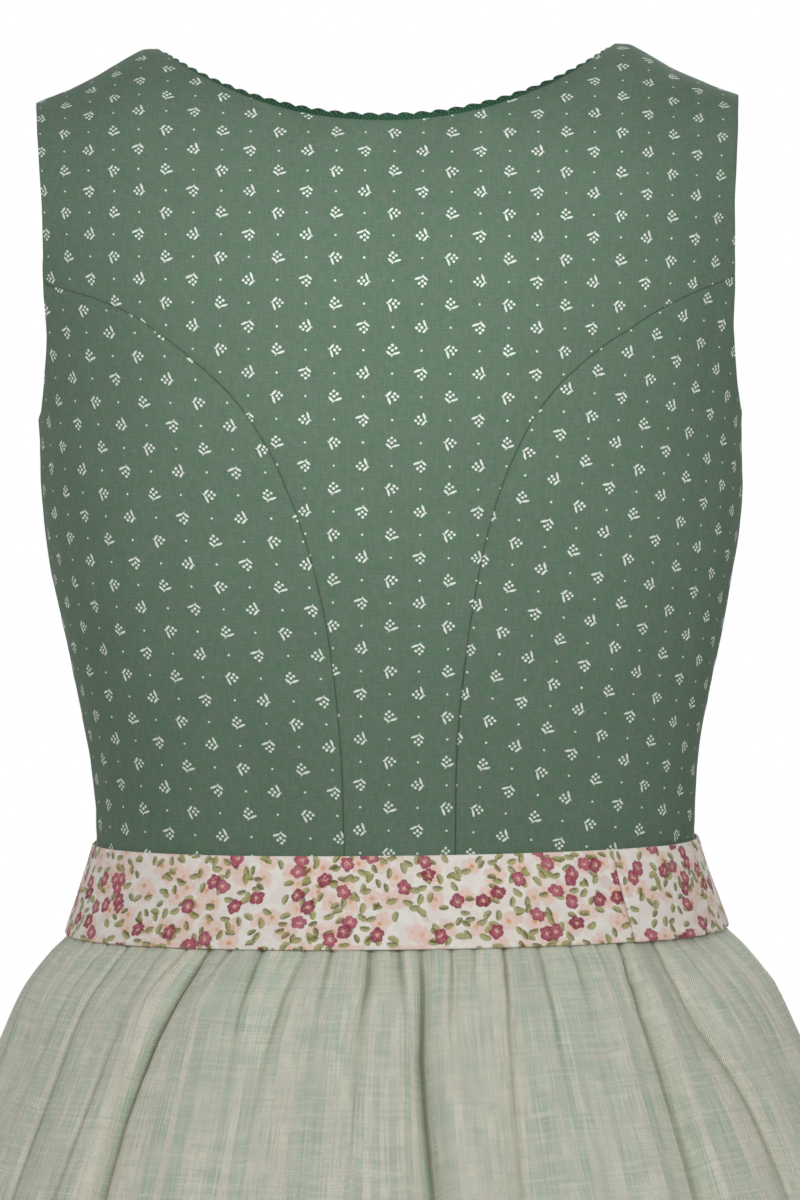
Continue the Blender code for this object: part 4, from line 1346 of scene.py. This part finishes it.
class NodeTree(Nodes):
    """A geometry node group with a name and a default for each length in metres that it takes."""

    def __init__(self, name, inputs):
        super().__init__(bpy.data.node_groups.new(name, "GeometryNodeTree"))
        interface = self.tree.interface
        interface.new_socket("Geometry", in_out="INPUT", socket_type="NodeSocketGeometry")
        self.names = {}
        for label, value in inputs.items():
            made = interface.new_socket(label, in_out="INPUT", socket_type="NodeSocketFloat")
            made.default_value = value
            self.names[label] = made.identifier
        interface.new_socket("Geometry", in_out="OUTPUT", socket_type="NodeSocketGeometry")
        start = self.tree.nodes.new("NodeGroupInput")
        self.given = {socket.name: Term(self, socket) for socket in start.outputs}
        self.end = self.tree.nodes.new("NodeGroupOutput")

    def vector(self, operation, first, second):
        key = 3 if operation == "SCALE" else 1
        return self.term("ShaderNodeVectorMath", {"operation": operation}, {0: first, key: second})

    def field(self, name, kind="FLOAT_VECTOR"):
        settings = {"data_type": kind}
        return self.term("GeometryNodeInputNamedAttribute", settings, {"Name": name}, "Attribute")

    def stored(self, geometry, name, kind, value):
        """The geometry with a value kept on its points."""
        settings = {"data_type": kind, "domain": "POINT"}
        values = {"Geometry": geometry, "Name": name, "Value": value}
        return self.term("GeometryNodeStoreNamedAttribute", settings, values)

    def moved_line(self, offset):
        """The guide as a curve, moved by the offset."""
        line = self.term("GeometryNodeMeshToCurve", {}, {0: self.given["Geometry"]})
        return self.term("GeometryNodeSetPosition", {}, {"Geometry": line, "Offset": offset})

    def finish(self, geometry, material):
        real = self.term("GeometryNodeRealizeInstances", {}, {0: geometry})
        values = {"Geometry": real, "Material": material}
        final = self.node("GeometryNodeSetMaterial", {}, values)
        self.tree.links.new(final.outputs[0], self.end.inputs[0])
        return self.tree, self.names


def guide(name, runs):
    """Open lines of points as a mesh, each point with its rise and face directions."""
    points, edges, rise, face = [], [], [], []
    for line, up, out in runs:
        edges += [(len(points) + k, len(points) + k + 1) for k in range(len(line) - 1)]
        points += line.tolist()
        rise += up.tolist()
        face += out.tolist()
    mesh = bpy.data.meshes.new(name)
    mesh.from_pydata(points, edges, [])
    for label, values in (("rise", rise), ("face", face)):
        layer = mesh.attributes.new(label, "FLOAT_VECTOR", "POINT")
        layer.data.foreach_set("vector", np.array(values).ravel())
    return placed(name, mesh)


def applied(body, tree, names, values, name):
    """The plain mesh that a node group makes from an object, which it then replaces."""
    modifier = body.modifiers.new(name, "NODES")
    modifier.node_group = tree
    for label, value in values.items():
        modifier[names[label]] = value
    bpy.context.view_layer.update()
    graph = bpy.context.evaluated_depsgraph_get()
    mesh = bpy.data.meshes.new_from_object(body.evaluated_get(graph))
    mesh.name = name
    mesh.shade_smooth()
    old = body.data
    bpy.data.objects.remove(body)
    bpy.data.meshes.remove(old)
    return placed(name, mesh)


def braid_tree(material):
    """A flat braid that waves along a line."""
    nodes = NodeTree(
        "Rickrack",
        {
            "Wave": 0.008,
            "Swing": 0.0008,
            "Width": 0.006,
            "Thickness": 0.0009,
            "Height": 0.0023,
            "Depth": 0.0022,
        },
    )
    given = nodes.given
    face = nodes.field("face")
    length = nodes.term("GeometryNodeSplineParameter", {}, {}, "Length")
    angle = length / given["Wave"] * (2 * math.pi)
    lean = nodes.math("SINE", angle * 2.0) * 0.22
    swing = (nodes.math("SINE", angle) + lean) * given["Swing"]
    up = nodes.vector("SCALE", nodes.field("rise"), swing + given["Height"])
    back = nodes.vector("SCALE", face, -given["Depth"])
    line = nodes.moved_line(nodes.vector("ADD", up, back))
    values = {"Curve": line, "Normal": face}
    line = nodes.term("GeometryNodeSetCurveNormal", {"mode": "FREE"}, values)
    line = nodes.stored(line, "along", "FLOAT", length)
    values = {"Width": given["Thickness"], "Height": given["Width"]}
    outline = nodes.term("GeometryNodeCurvePrimitiveQuadrilateral", {"mode": "RECTANGLE"}, values)
    values = {"Curve": outline, "Count": 3, "Radius": given["Thickness"] * 0.42}
    rounded = nodes.term("GeometryNodeFilletCurve", {"mode": "POLY"}, values)
    values = {"Curve": rounded, "Count": 26}
    split = nodes.term("GeometryNodeResampleCurve", {"mode": "COUNT"}, values)
    place = nodes.term("GeometryNodeInputPosition", {}, {})
    profile = nodes.stored(split, "profile", "FLOAT_VECTOR", place)
    values = {"Curve": line, "Profile Curve": profile, "Fill Caps": True}
    tube = nodes.term("GeometryNodeCurveToMesh", {}, values)
    side = nodes.parts(nodes.field("profile"))[1]
    both = nodes.combined(nodes.field("along", "FLOAT"), side)
    return nodes.finish(nodes.stored(tube, "braid_place", "FLOAT_VECTOR", both), material)


def stitch_tree(material):
    """A row of stitches laid along a line."""
    nodes = NodeTree(
        "Stitches",
        {"Stitch": 0.0022, "Gap": 0.0010, "Thread": 0.00022, "Lift": 0.00005},
    )
    given = nodes.given
    line = nodes.moved_line(nodes.vector("SCALE", nodes.field("face"), given["Lift"]))
    values = {"Curve": line, "Length": given["Stitch"] + given["Gap"]}
    even = nodes.term("GeometryNodeResampleCurve", {"mode": "LENGTH"}, values)
    values = {"Segments": 6, "Rings": 5, "Radius": 0.5}
    ball = nodes.term("GeometryNodeMeshUVSphere", {}, values)
    tangent = nodes.term("GeometryNodeInputTangent", {}, {})
    turned = nodes.term("FunctionNodeAlignRotationToVector", {"axis": "Z"}, {"Vector": tangent})
    values = {
        "Points": even,
        "Instance": ball,
        "Rotation": turned,
        "Scale": nodes.combined(given["Thread"], given["Thread"], given["Stitch"]),
    }
    return nodes.finish(nodes.term("GeometryNodeInstanceOnPoints", {}, values), material)


# Settings.


def label(key):
    return key.replace("_", " ").capitalize()


# Lengths in metres: what each is, and its default.
SIZES = {
    "panel_pitch": ("Distance between the points of a bodice piece", 0.003),
    "row_pitch": ("Distance between the skirt's rows below the band", 0.0022),
    "print_column": ("Width of one column of the bodice print", 0.0127),
    "print_row": ("Height of one row of the bodice print", 0.0103),
    "weave_column": ("Width of one herringbone column", 0.0036),
    "weave_rib": ("Distance between herringbone ribs", 0.0012),
    "braid_wave": ("Length of one wave of the rickrack", 0.0080),
    "braid_swing": ("Half the height of the rickrack's wave", 0.0008),
    "braid_width": ("Width of the rickrack's braid", 0.0060),
    "stitch": ("Length of a stitch", 0.0022),
    "stitch_gap": ("Distance between two stitches", 0.0010),
    "floor_size": ("Side of the square floor", 6.0),
    "floor_drop": ("Height of the wearer's shoulders above the floor", 1.42),
}

# Colours as screen levels of 0 to 255: what each is, and its default.
COLOURS = {
    "bodice": ("Ground of the bodice print", (98, 120, 102)),
    "motif": ("Sprigs and dots of the bodice print", (232, 238, 230)),
    # The rickrack's second colour is painted highlight on the ridges of its plait, not a second thread.
    "braid": ("Dark threads of the rickrack", (14, 54, 36)),
    "braid_highlight": ("Light threads of the rickrack", (50, 108, 74)),
    "cream": ("Light stripes of the skirt", (240, 238, 221)),
    "sage": ("Green stripes of the skirt", (205, 220, 199)),
    "slub": ("Thick threads of the skirt", (244, 241, 226)),
    "moss": ("Dark threads of the skirt", (164, 185, 162)),
    "rib": ("Shade between the skirt's ribs", (162, 165, 142)),
    "ground": ("Ground of the flowered cotton", (246, 242, 234)),
    "ground_shade": ("Warmer places of that ground", (242, 233, 226)),
    "blush": ("Large pale flowers", (240, 207, 195)),
    "blush_pale": ("Edges of the pale flowers", (243, 220, 209)),
    "orange": ("Hearts of the pale flowers", (232, 164, 112)),
    "yellow": ("Hearts of the dark flowers", (234, 206, 164)),
    "burgundy": ("Rims of the dark flowers", (144, 46, 70)),
    "rose": ("Middles of the dark flowers", (192, 102, 120)),
    "leaf": ("Dark leaves", (98, 100, 40)),
    "leaf_pale": ("Light leaves", (176, 172, 112)),
    "thread": ("Sewing thread", (226, 216, 202)),
    "floor": ("The floor", (232, 231, 228)),
}


class DirndlSizes(bpy.types.PropertyGroup):
    """Sizes of the cloth's detail."""

    __annotations__ = {
        key: bpy.props.FloatProperty(
            name=label(key),
            description=text,
            default=value,
            min=0.0001,
            max=50.0,
            unit="LENGTH",
            precision=4,
        )
        for key, (text, value) in SIZES.items()
    }


class DirndlColours(bpy.types.PropertyGroup):
    """Colours of the cloth."""

    __annotations__ = {
        key: bpy.props.FloatVectorProperty(
            name=label(key),
            description=text,
            default=srgb(*levels),
            size=3,
            min=0.0,
            max=1.0,
            subtype="COLOR",
        )
        for key, (text, levels) in COLOURS.items()
    }


def sizes():
    return bpy.context.scene.dirndl_sizes


def colours():
    """The colours as plain tuples by name."""
    group = bpy.context.scene.dirndl_colours
    return {name: tuple(getattr(group, name)) for name in COLOURS}


def declare(body, node):
    """Hides the solid that a sheet of cloth stands for, and hangs the sheet on the root."""
    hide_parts(node)
    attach(body, "root")


# Operators.


class DIRNDL_OT_bodice(bpy.types.Operator):
    """Builds the seven pieces of the bodice"""

    bl_idname = "dirndl.bodice"
    bl_label = "Bodice"

    # Rectangle that each piece was cut from, and the area of its cut.
    cuts = {
        "back_centre": ((0.40, 0.47), 0.066),
        "back_side": ((0.18, 0.29), 0.040),
        "front_side": ((0.16, 0.28), 0.033),
        "front_centre": ((0.16, 0.42), 0.031),
    }

    def execute(self, context):
        colour = colours()
        size = (sizes().print_column / MM, sizes().print_row / MM)
        materials = [
            bodice_material("Sprig cotton" + side, colour["bodice"], colour["motif"], size, bool(side))
            for side in ("", " wrong side")
        ]
        pitch = sizes().panel_pitch
        for name, (outline, seams) in bodice_outlines(pitch).items():
            body = build_panel(name, outline, seams, pitch, materials)
            rests = [] if name == "back_centre" else ["cloth_back_centre"]
            declare(body, name)
        return {"FINISHED"}


class DIRNDL_OT_rickrack(bpy.types.Operator):
    """Builds the waved braid behind the neck edge"""

    bl_idname = "dirndl.rickrack"
    bl_label = "Rickrack"

    def execute(self, context):
        colour = colours()
        material = braid_material("Rickrack cotton", colour["braid"], colour["braid_highlight"])
        tree, names = braid_tree(material)
        share = neck_share(SHOULDER_SEAM)
        upper, lower = (neckline(False, *part, BRAID_STEP) for part in ((0, share), (share, 1.0)))
        front = np.vstack([upper[:-1], lower])
        left = np.vstack([front[:0:-1], neckline(True, 0, 1.0, BRAID_STEP)[:-1]])
        places = np.vstack([left, [(0.0, NECK_BACK_DROP)], mirrored(left)])
        line = bodice_point(*places.T)
        face = bodice_normal(*places.T)
        along = np.gradient(line, axis=0)
        rise = unit(np.cross(along, face))
        upward = ((np.array(ABOVE_NECK) - line) * rise).sum(axis=1)
        rise = rise * np.sign(upward)[:, None]
        # Less of the braid shows toward the shoulders.
        sunk = 0.0003 + 0.0021 * eased(np.abs(line[:, 0]), 0.035, 0.100)
        line = (line - rise * sunk[:, None])[2:-2]
        body = guide("rickrack_line", [(line, rise[2:-2], face[2:-2])])
        size = sizes()
        values = {"Wave": size.braid_wave, "Swing": size.braid_swing, "Width": size.braid_width}
        braid = applied(body, tree, names, values, "cloth_rickrack")
        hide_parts("neck_rickrack")
        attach(braid, "root")
        return {"FINISHED"}


class DIRNDL_OT_waistband(bpy.types.Operator):
    """Builds the flowered band round the waist"""

    bl_idname = "dirndl.waistband"
    bl_label = "Waistband"

    def execute(self, context):
        start = BAND_END - BAND_UNDERLAP
        total = 360 + BAND_UNDERLAP
        turned = np.linspace(0, total, BAND_COLUMNS)[::-1]
        drops = np.linspace(BAND_TOP, BAND_BOTTOM, BAND_ROWS)
        place, drop = np.meshgrid(turned, drops)
        left = total - place
        over = np.clip((BAND_UNDERLAP + 20 - left) / 20, 0, 1)
        offset = LAYER_GAP + BAND_WALL + over * (BAND_WALL + SEAM_GAP)
        point, outward = section(BODICE_SECTIONS, start + place, drop)
        height = (drop - BAND_TOP) / (BAND_BOTTOM - BAND_TOP)
        soft = 0.00022 * np.sin(place * 0.41 + 3 * height) * np.sin(place * 0.97 + 1.3) * height
        soft += 0.00035 * np.sin(place * 0.13 + 2.2 * height + 0.8) * np.sin(height * math.pi)
        fold = 0.00025 * (np.exp(-((height / 0.06) ** 2)) + np.exp(-(((1 - height) / 0.06) ** 2)))
        grid = point + outward * (offset + soft - fold)[..., None]
        wide = lengths_along(grid, 1)[len(drops) // 2]
        long = lengths_along(grid, 0)
        uvs = np.column_stack([np.tile(wide, len(drops)) + 0.013, -long.ravel() - 0.010])
        materials = [context.scene.dirndl_flowered, context.scene.dirndl_flowered_reverse]
        edge = (BAND_WALL, BAND_RIM, 0.0)
        body = build_grid_shell("cloth_waistband", grid, uvs, edge, materials)
        declare(body, "apron_waistband")
        return {"FINISHED"}


class DIRNDL_OT_skirt(bpy.types.Operator):
    """Builds both halves of the gathered skirt"""

    bl_idname = "dirndl.skirt"
    bl_label = "Skirt"

    def execute(self, context):
        colour = colours()
        weave = (sizes().weave_column / MM, sizes().weave_rib / MM)
        materials = [
            skirt_material("Herringbone cloth", colour, *weave, False),
            skirt_material("Herringbone wrong side", colour, *weave, True),
        ]
        drops = skirt_rows(SKIRT_SECTIONS[0][0], HEM, sizes().row_pitch)
        edge = (SKIRT_WALL, SKIRT_RIM, SEAM_LINE)
        for name, first, last, folds, count, lowered in SKIRT_HALVES:
            places = skirt_places(first, last, folds, count)
            grid, creases = skirt_surface(places, drops, folds, lowered)
            uvs = skirt_uvs(grid, drops)
            body = build_grid_shell("cloth_" + name, grid, uvs, edge, materials, creases)
            declare(body, name)
        return {"FINISHED"}


class DIRNDL_OT_apron(bpy.types.Operator):
    """Builds the apron over the front of the skirt"""

    bl_idname = "dirndl.apron"
    bl_label = "Apron"

    def execute(self, context):
        drops = skirt_rows(APRON_TOP, APRON_HEM, sizes().row_pitch)
        folds = front_folds()
        places = skirt_places(*APRON_EDGES, folds, APRON_COLUMNS)
        grid, creases = skirt_surface(places, drops, folds, beside)
        grid = grid + grid_normals(grid) * (LAYER_GAP + SKIRT_WALL)
        uvs = apron_uvs(grid)
        materials = [context.scene.dirndl_flowered, context.scene.dirndl_flowered_reverse]
        edge = (SKIRT_WALL, SKIRT_RIM, 0.0)
        body = build_grid_shell("cloth_apron", grid, uvs, edge, materials, creases)
        declare(body, "apron_skirt")
        return {"FINISHED"}


class DIRNDL_OT_stitching(bpy.types.Operator):
    """Sews the hems and the end of the band"""

    bl_idname = "dirndl.stitching"
    bl_label = "Stitching"

    def execute(self, context):
        folds = front_folds()
        above = LAYER_GAP + SKIRT_WALL
        hems = [(*half[1:], HEM - SKIRT_HEM_DEPTH, 0.0) for half in SKIRT_HALVES]
        hems += [(*APRON_EDGES, folds, APRON_COLUMNS, beside, APRON_HEM - APRON_HEM_DEPTH, above)]
        runs = []
        for first, last, shape, count, lowered, drop, lift in hems:
            places = skirt_places(first, last, shape, count)
            runs.append(self.row(places, drop + np.array((-0.002, 0.0, 0.002)), shape, lowered, lift))
        drops = skirt_rows(APRON_TOP, APRON_HEM, 0.004)
        for side, inward in zip(APRON_EDGES, (1.0, -1.0)):
            places = side + inward * STITCH_TURN + np.array((0.2, 0.0, -0.2))
            runs.append(self.row(places, drops, folds, beside, above, upright=True))
        self.sew("stitching_hems", runs)
        self.sew("stitching_band", [self.band_end()])
        return {"FINISHED"}

    def row(self, places, drops, folds, lowered, lift, upright=False):
        """The middle row, or the middle column, of a narrow strip of cloth."""
        grid = skirt_surface(places, drops, folds, lowered)[0]
        normals = grid_normals(grid)
        grid = grid + normals * (lift + THREAD_LIFT)
        pick = (slice(1, -1), 1) if upright else (1, slice(1, -1))
        return grid[pick], normals[pick], normals[pick]

    def band_end(self):
        """A line 2 mm inside the outer end of the band."""
        drops = np.linspace(BAND_TOP + 0.0015, BAND_BOTTOM - 0.0015, 12)
        turn = np.full(12, BAND_END + 360 - STITCH_TURN)
        point, outward = section(BODICE_SECTIONS, turn, drops)
        offset = LAYER_GAP + 2 * BAND_WALL + SEAM_GAP + THREAD_LIFT
        return point + outward * offset, outward, outward

    def sew(self, name, runs):
        tree, names = stitch_tree(thread_material(name, colours()["thread"]))
        values = {"Stitch": sizes().stitch, "Gap": sizes().stitch_gap}
        body = applied(guide(name + "_line", runs), tree, names, values, name)
        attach(body, "root")


class DIRNDL_OT_stage(bpy.types.Operator):
    """Sets the floor, the light and the camera"""

    bl_idname = "dirndl.stage"
    bl_label = "Stage"

    # Name, place, point it faces, side in metres, spread in degrees, power in watts.
    lamps = (
        ("back_left", (1.2, 3.25, 1.5), (0.0, 0.0, -0.3), 1.3, 180, 28.3),
        ("back_right", (-1.22, 3.25, 1.0), (0.0, 0.0, -0.3), 1.3, 180, 25.7),
        ("back_middle", (0.1, 3.6, 0.15), (0.0, 0.0, -0.12), 0.3, 9, 0.20),
        ("top", (0.0, 0.8, 2.6), (0.0, 0.0, 0.0), 1.6, 180, 9.0),
        ("side_left", (2.8, 1.4, 0.4), (0.0, 0.0, -0.3), 1.8, 180, 5.0),
        ("side_right", (-2.8, 0.9, 0.4), (0.0, 0.0, -0.3), 1.8, 180, 7.5),
        ("front_left", (2.4, -2.2, 0.2), (0.0, 0.0, -0.4), 2.0, 180, 20.0),
        ("front_right", (-1.0, -3.4, 1.3), (0.0, 0.0, -0.4), 2.0, 180, 62.0),
    )

    # Light from all round, beside the white ground that the camera sees.
    ambient = 0.18

    # The camera: lens in millimetres, place, and how far it looks down and leans, in degrees.
    lens = 195.6
    camera_place = (-0.0032, 3.0, -0.11)
    camera_tilt = 2.75
    camera_lean = -0.65

    def execute(self, context):
        self.add_floor()
        for lamp in self.lamps:
            self.add_lamp(*lamp)
        self.add_world(context.scene)
        self.add_camera(context.scene)
        context.scene.view_settings.view_transform = "Standard"
        return {"FINISHED"}

    def add_camera(self, scene):
        camera = bpy.data.cameras.new("Camera")
        camera.lens = self.lens
        camera.clip_end = 100.0
        upright = Euler((math.radians(90 - self.camera_tilt), 0.0, math.pi)).to_matrix()
        turned = upright @ Matrix.Rotation(math.radians(self.camera_lean), 3, "Z")
        scene.camera = placed("Camera", camera)
        scene.camera.matrix_world = Matrix.Translation(self.camera_place) @ turned.to_4x4()

    def add_floor(self):
        half = sizes().floor_size / 2
        height = -sizes().floor_drop
        corners = [(x * half, y * half, height) for x, y in ((-1, -1), (1, -1), (1, 1), (-1, 1))]
        mesh = bpy.data.meshes.new("floor")
        mesh.from_pydata(corners, [], [(0, 1, 2, 3)])
        mesh.materials.append(floor_material("Floor", colours()["floor"]))
        placed("floor", mesh)

    def add_lamp(self, name, place, target, side, spread, power):
        light = bpy.data.lights.new(name, "AREA")
        light.shape = "SQUARE"
        light.size = side
        light.energy = power
        light.spread = math.radians(spread)
        lamp = placed(name, light)
        lamp.location = place
        aim = Vector(target) - Vector(place)
        lamp.rotation_euler = aim.to_track_quat("-Z", "Y").to_euler()

    def add_world(self, scene):
        """Soft grey light from all round, with a near-white ground behind the dress."""
        world = bpy.data.worlds.new("Studio")
        world.use_nodes = True
        nodes = Nodes(world.node_tree)
        white = (1.0, 1.0, 1.0)
        soft = nodes.term("ShaderNodeBackground", {}, {0: white, 1: self.ambient})
        seen = nodes.term("ShaderNodeBackground", {}, {0: white})
        camera_ray = nodes.term("ShaderNodeLightPath", {}, {}, "Is Camera Ray")
        both = nodes.term("ShaderNodeMixShader", {}, {0: camera_ray, 1: soft, 2: seen})
        nodes.node("ShaderNodeOutputWorld", {}, {0: both})
        scene.world = world


class DIRNDL_PT_panel(bpy.types.Panel):
    """Sizes, colours and pieces of the dirndl"""

    bl_idname = "DIRNDL_PT_panel"
    bl_label = "Dirndl"
    bl_space_type = "VIEW_3D"
    bl_region_type = "UI"
    bl_category = "Dirndl"

    def draw(self, context):
        layout = self.layout
        for operator in OPERATORS:
            layout.operator(operator.bl_idname)
        scene = context.scene
        for group, keys in ((scene.dirndl_sizes, SIZES), (scene.dirndl_colours, COLOURS)):
            box = layout.box()
            for key in keys:
                box.prop(group, key)


OPERATORS = (
    DIRNDL_OT_bodice,
    DIRNDL_OT_rickrack,
    DIRNDL_OT_waistband,
    DIRNDL_OT_skirt,
    DIRNDL_OT_apron,
    DIRNDL_OT_stitching,
    DIRNDL_OT_stage,
)
CLASSES = (DirndlSizes, DirndlColours, *OPERATORS, DIRNDL_PT_panel)


def register():
    for item in CLASSES:
        bpy.utils.register_class(item)
    bpy.types.Scene.dirndl_sizes = bpy.props.PointerProperty(type=DirndlSizes)
    bpy.types.Scene.dirndl_colours = bpy.props.PointerProperty(type=DirndlColours)
    bpy.types.Scene.dirndl_flowered = bpy.props.PointerProperty(type=bpy.types.Material)
    bpy.types.Scene.dirndl_flowered_reverse = bpy.props.PointerProperty(type=bpy.types.Material)


def unregister():
    del bpy.types.Scene.dirndl_sizes
    del bpy.types.Scene.dirndl_colours
    del bpy.types.Scene.dirndl_flowered
    del bpy.types.Scene.dirndl_flowered_reverse
    for item in reversed(CLASSES):
        bpy.utils.unregister_class(item)


def main():
    register()
    scene = bpy.context.scene
    scene.dirndl_flowered = flower_material("Flowered cotton", colours(), False)
    scene.dirndl_flowered_reverse = flower_material("Flowered wrong side", colours(), True)
    for operator in OPERATORS:
        group, name = operator.bl_idname.split(".")
        getattr(getattr(bpy.ops, group), name)()


if __name__ == "__main__":
    main()
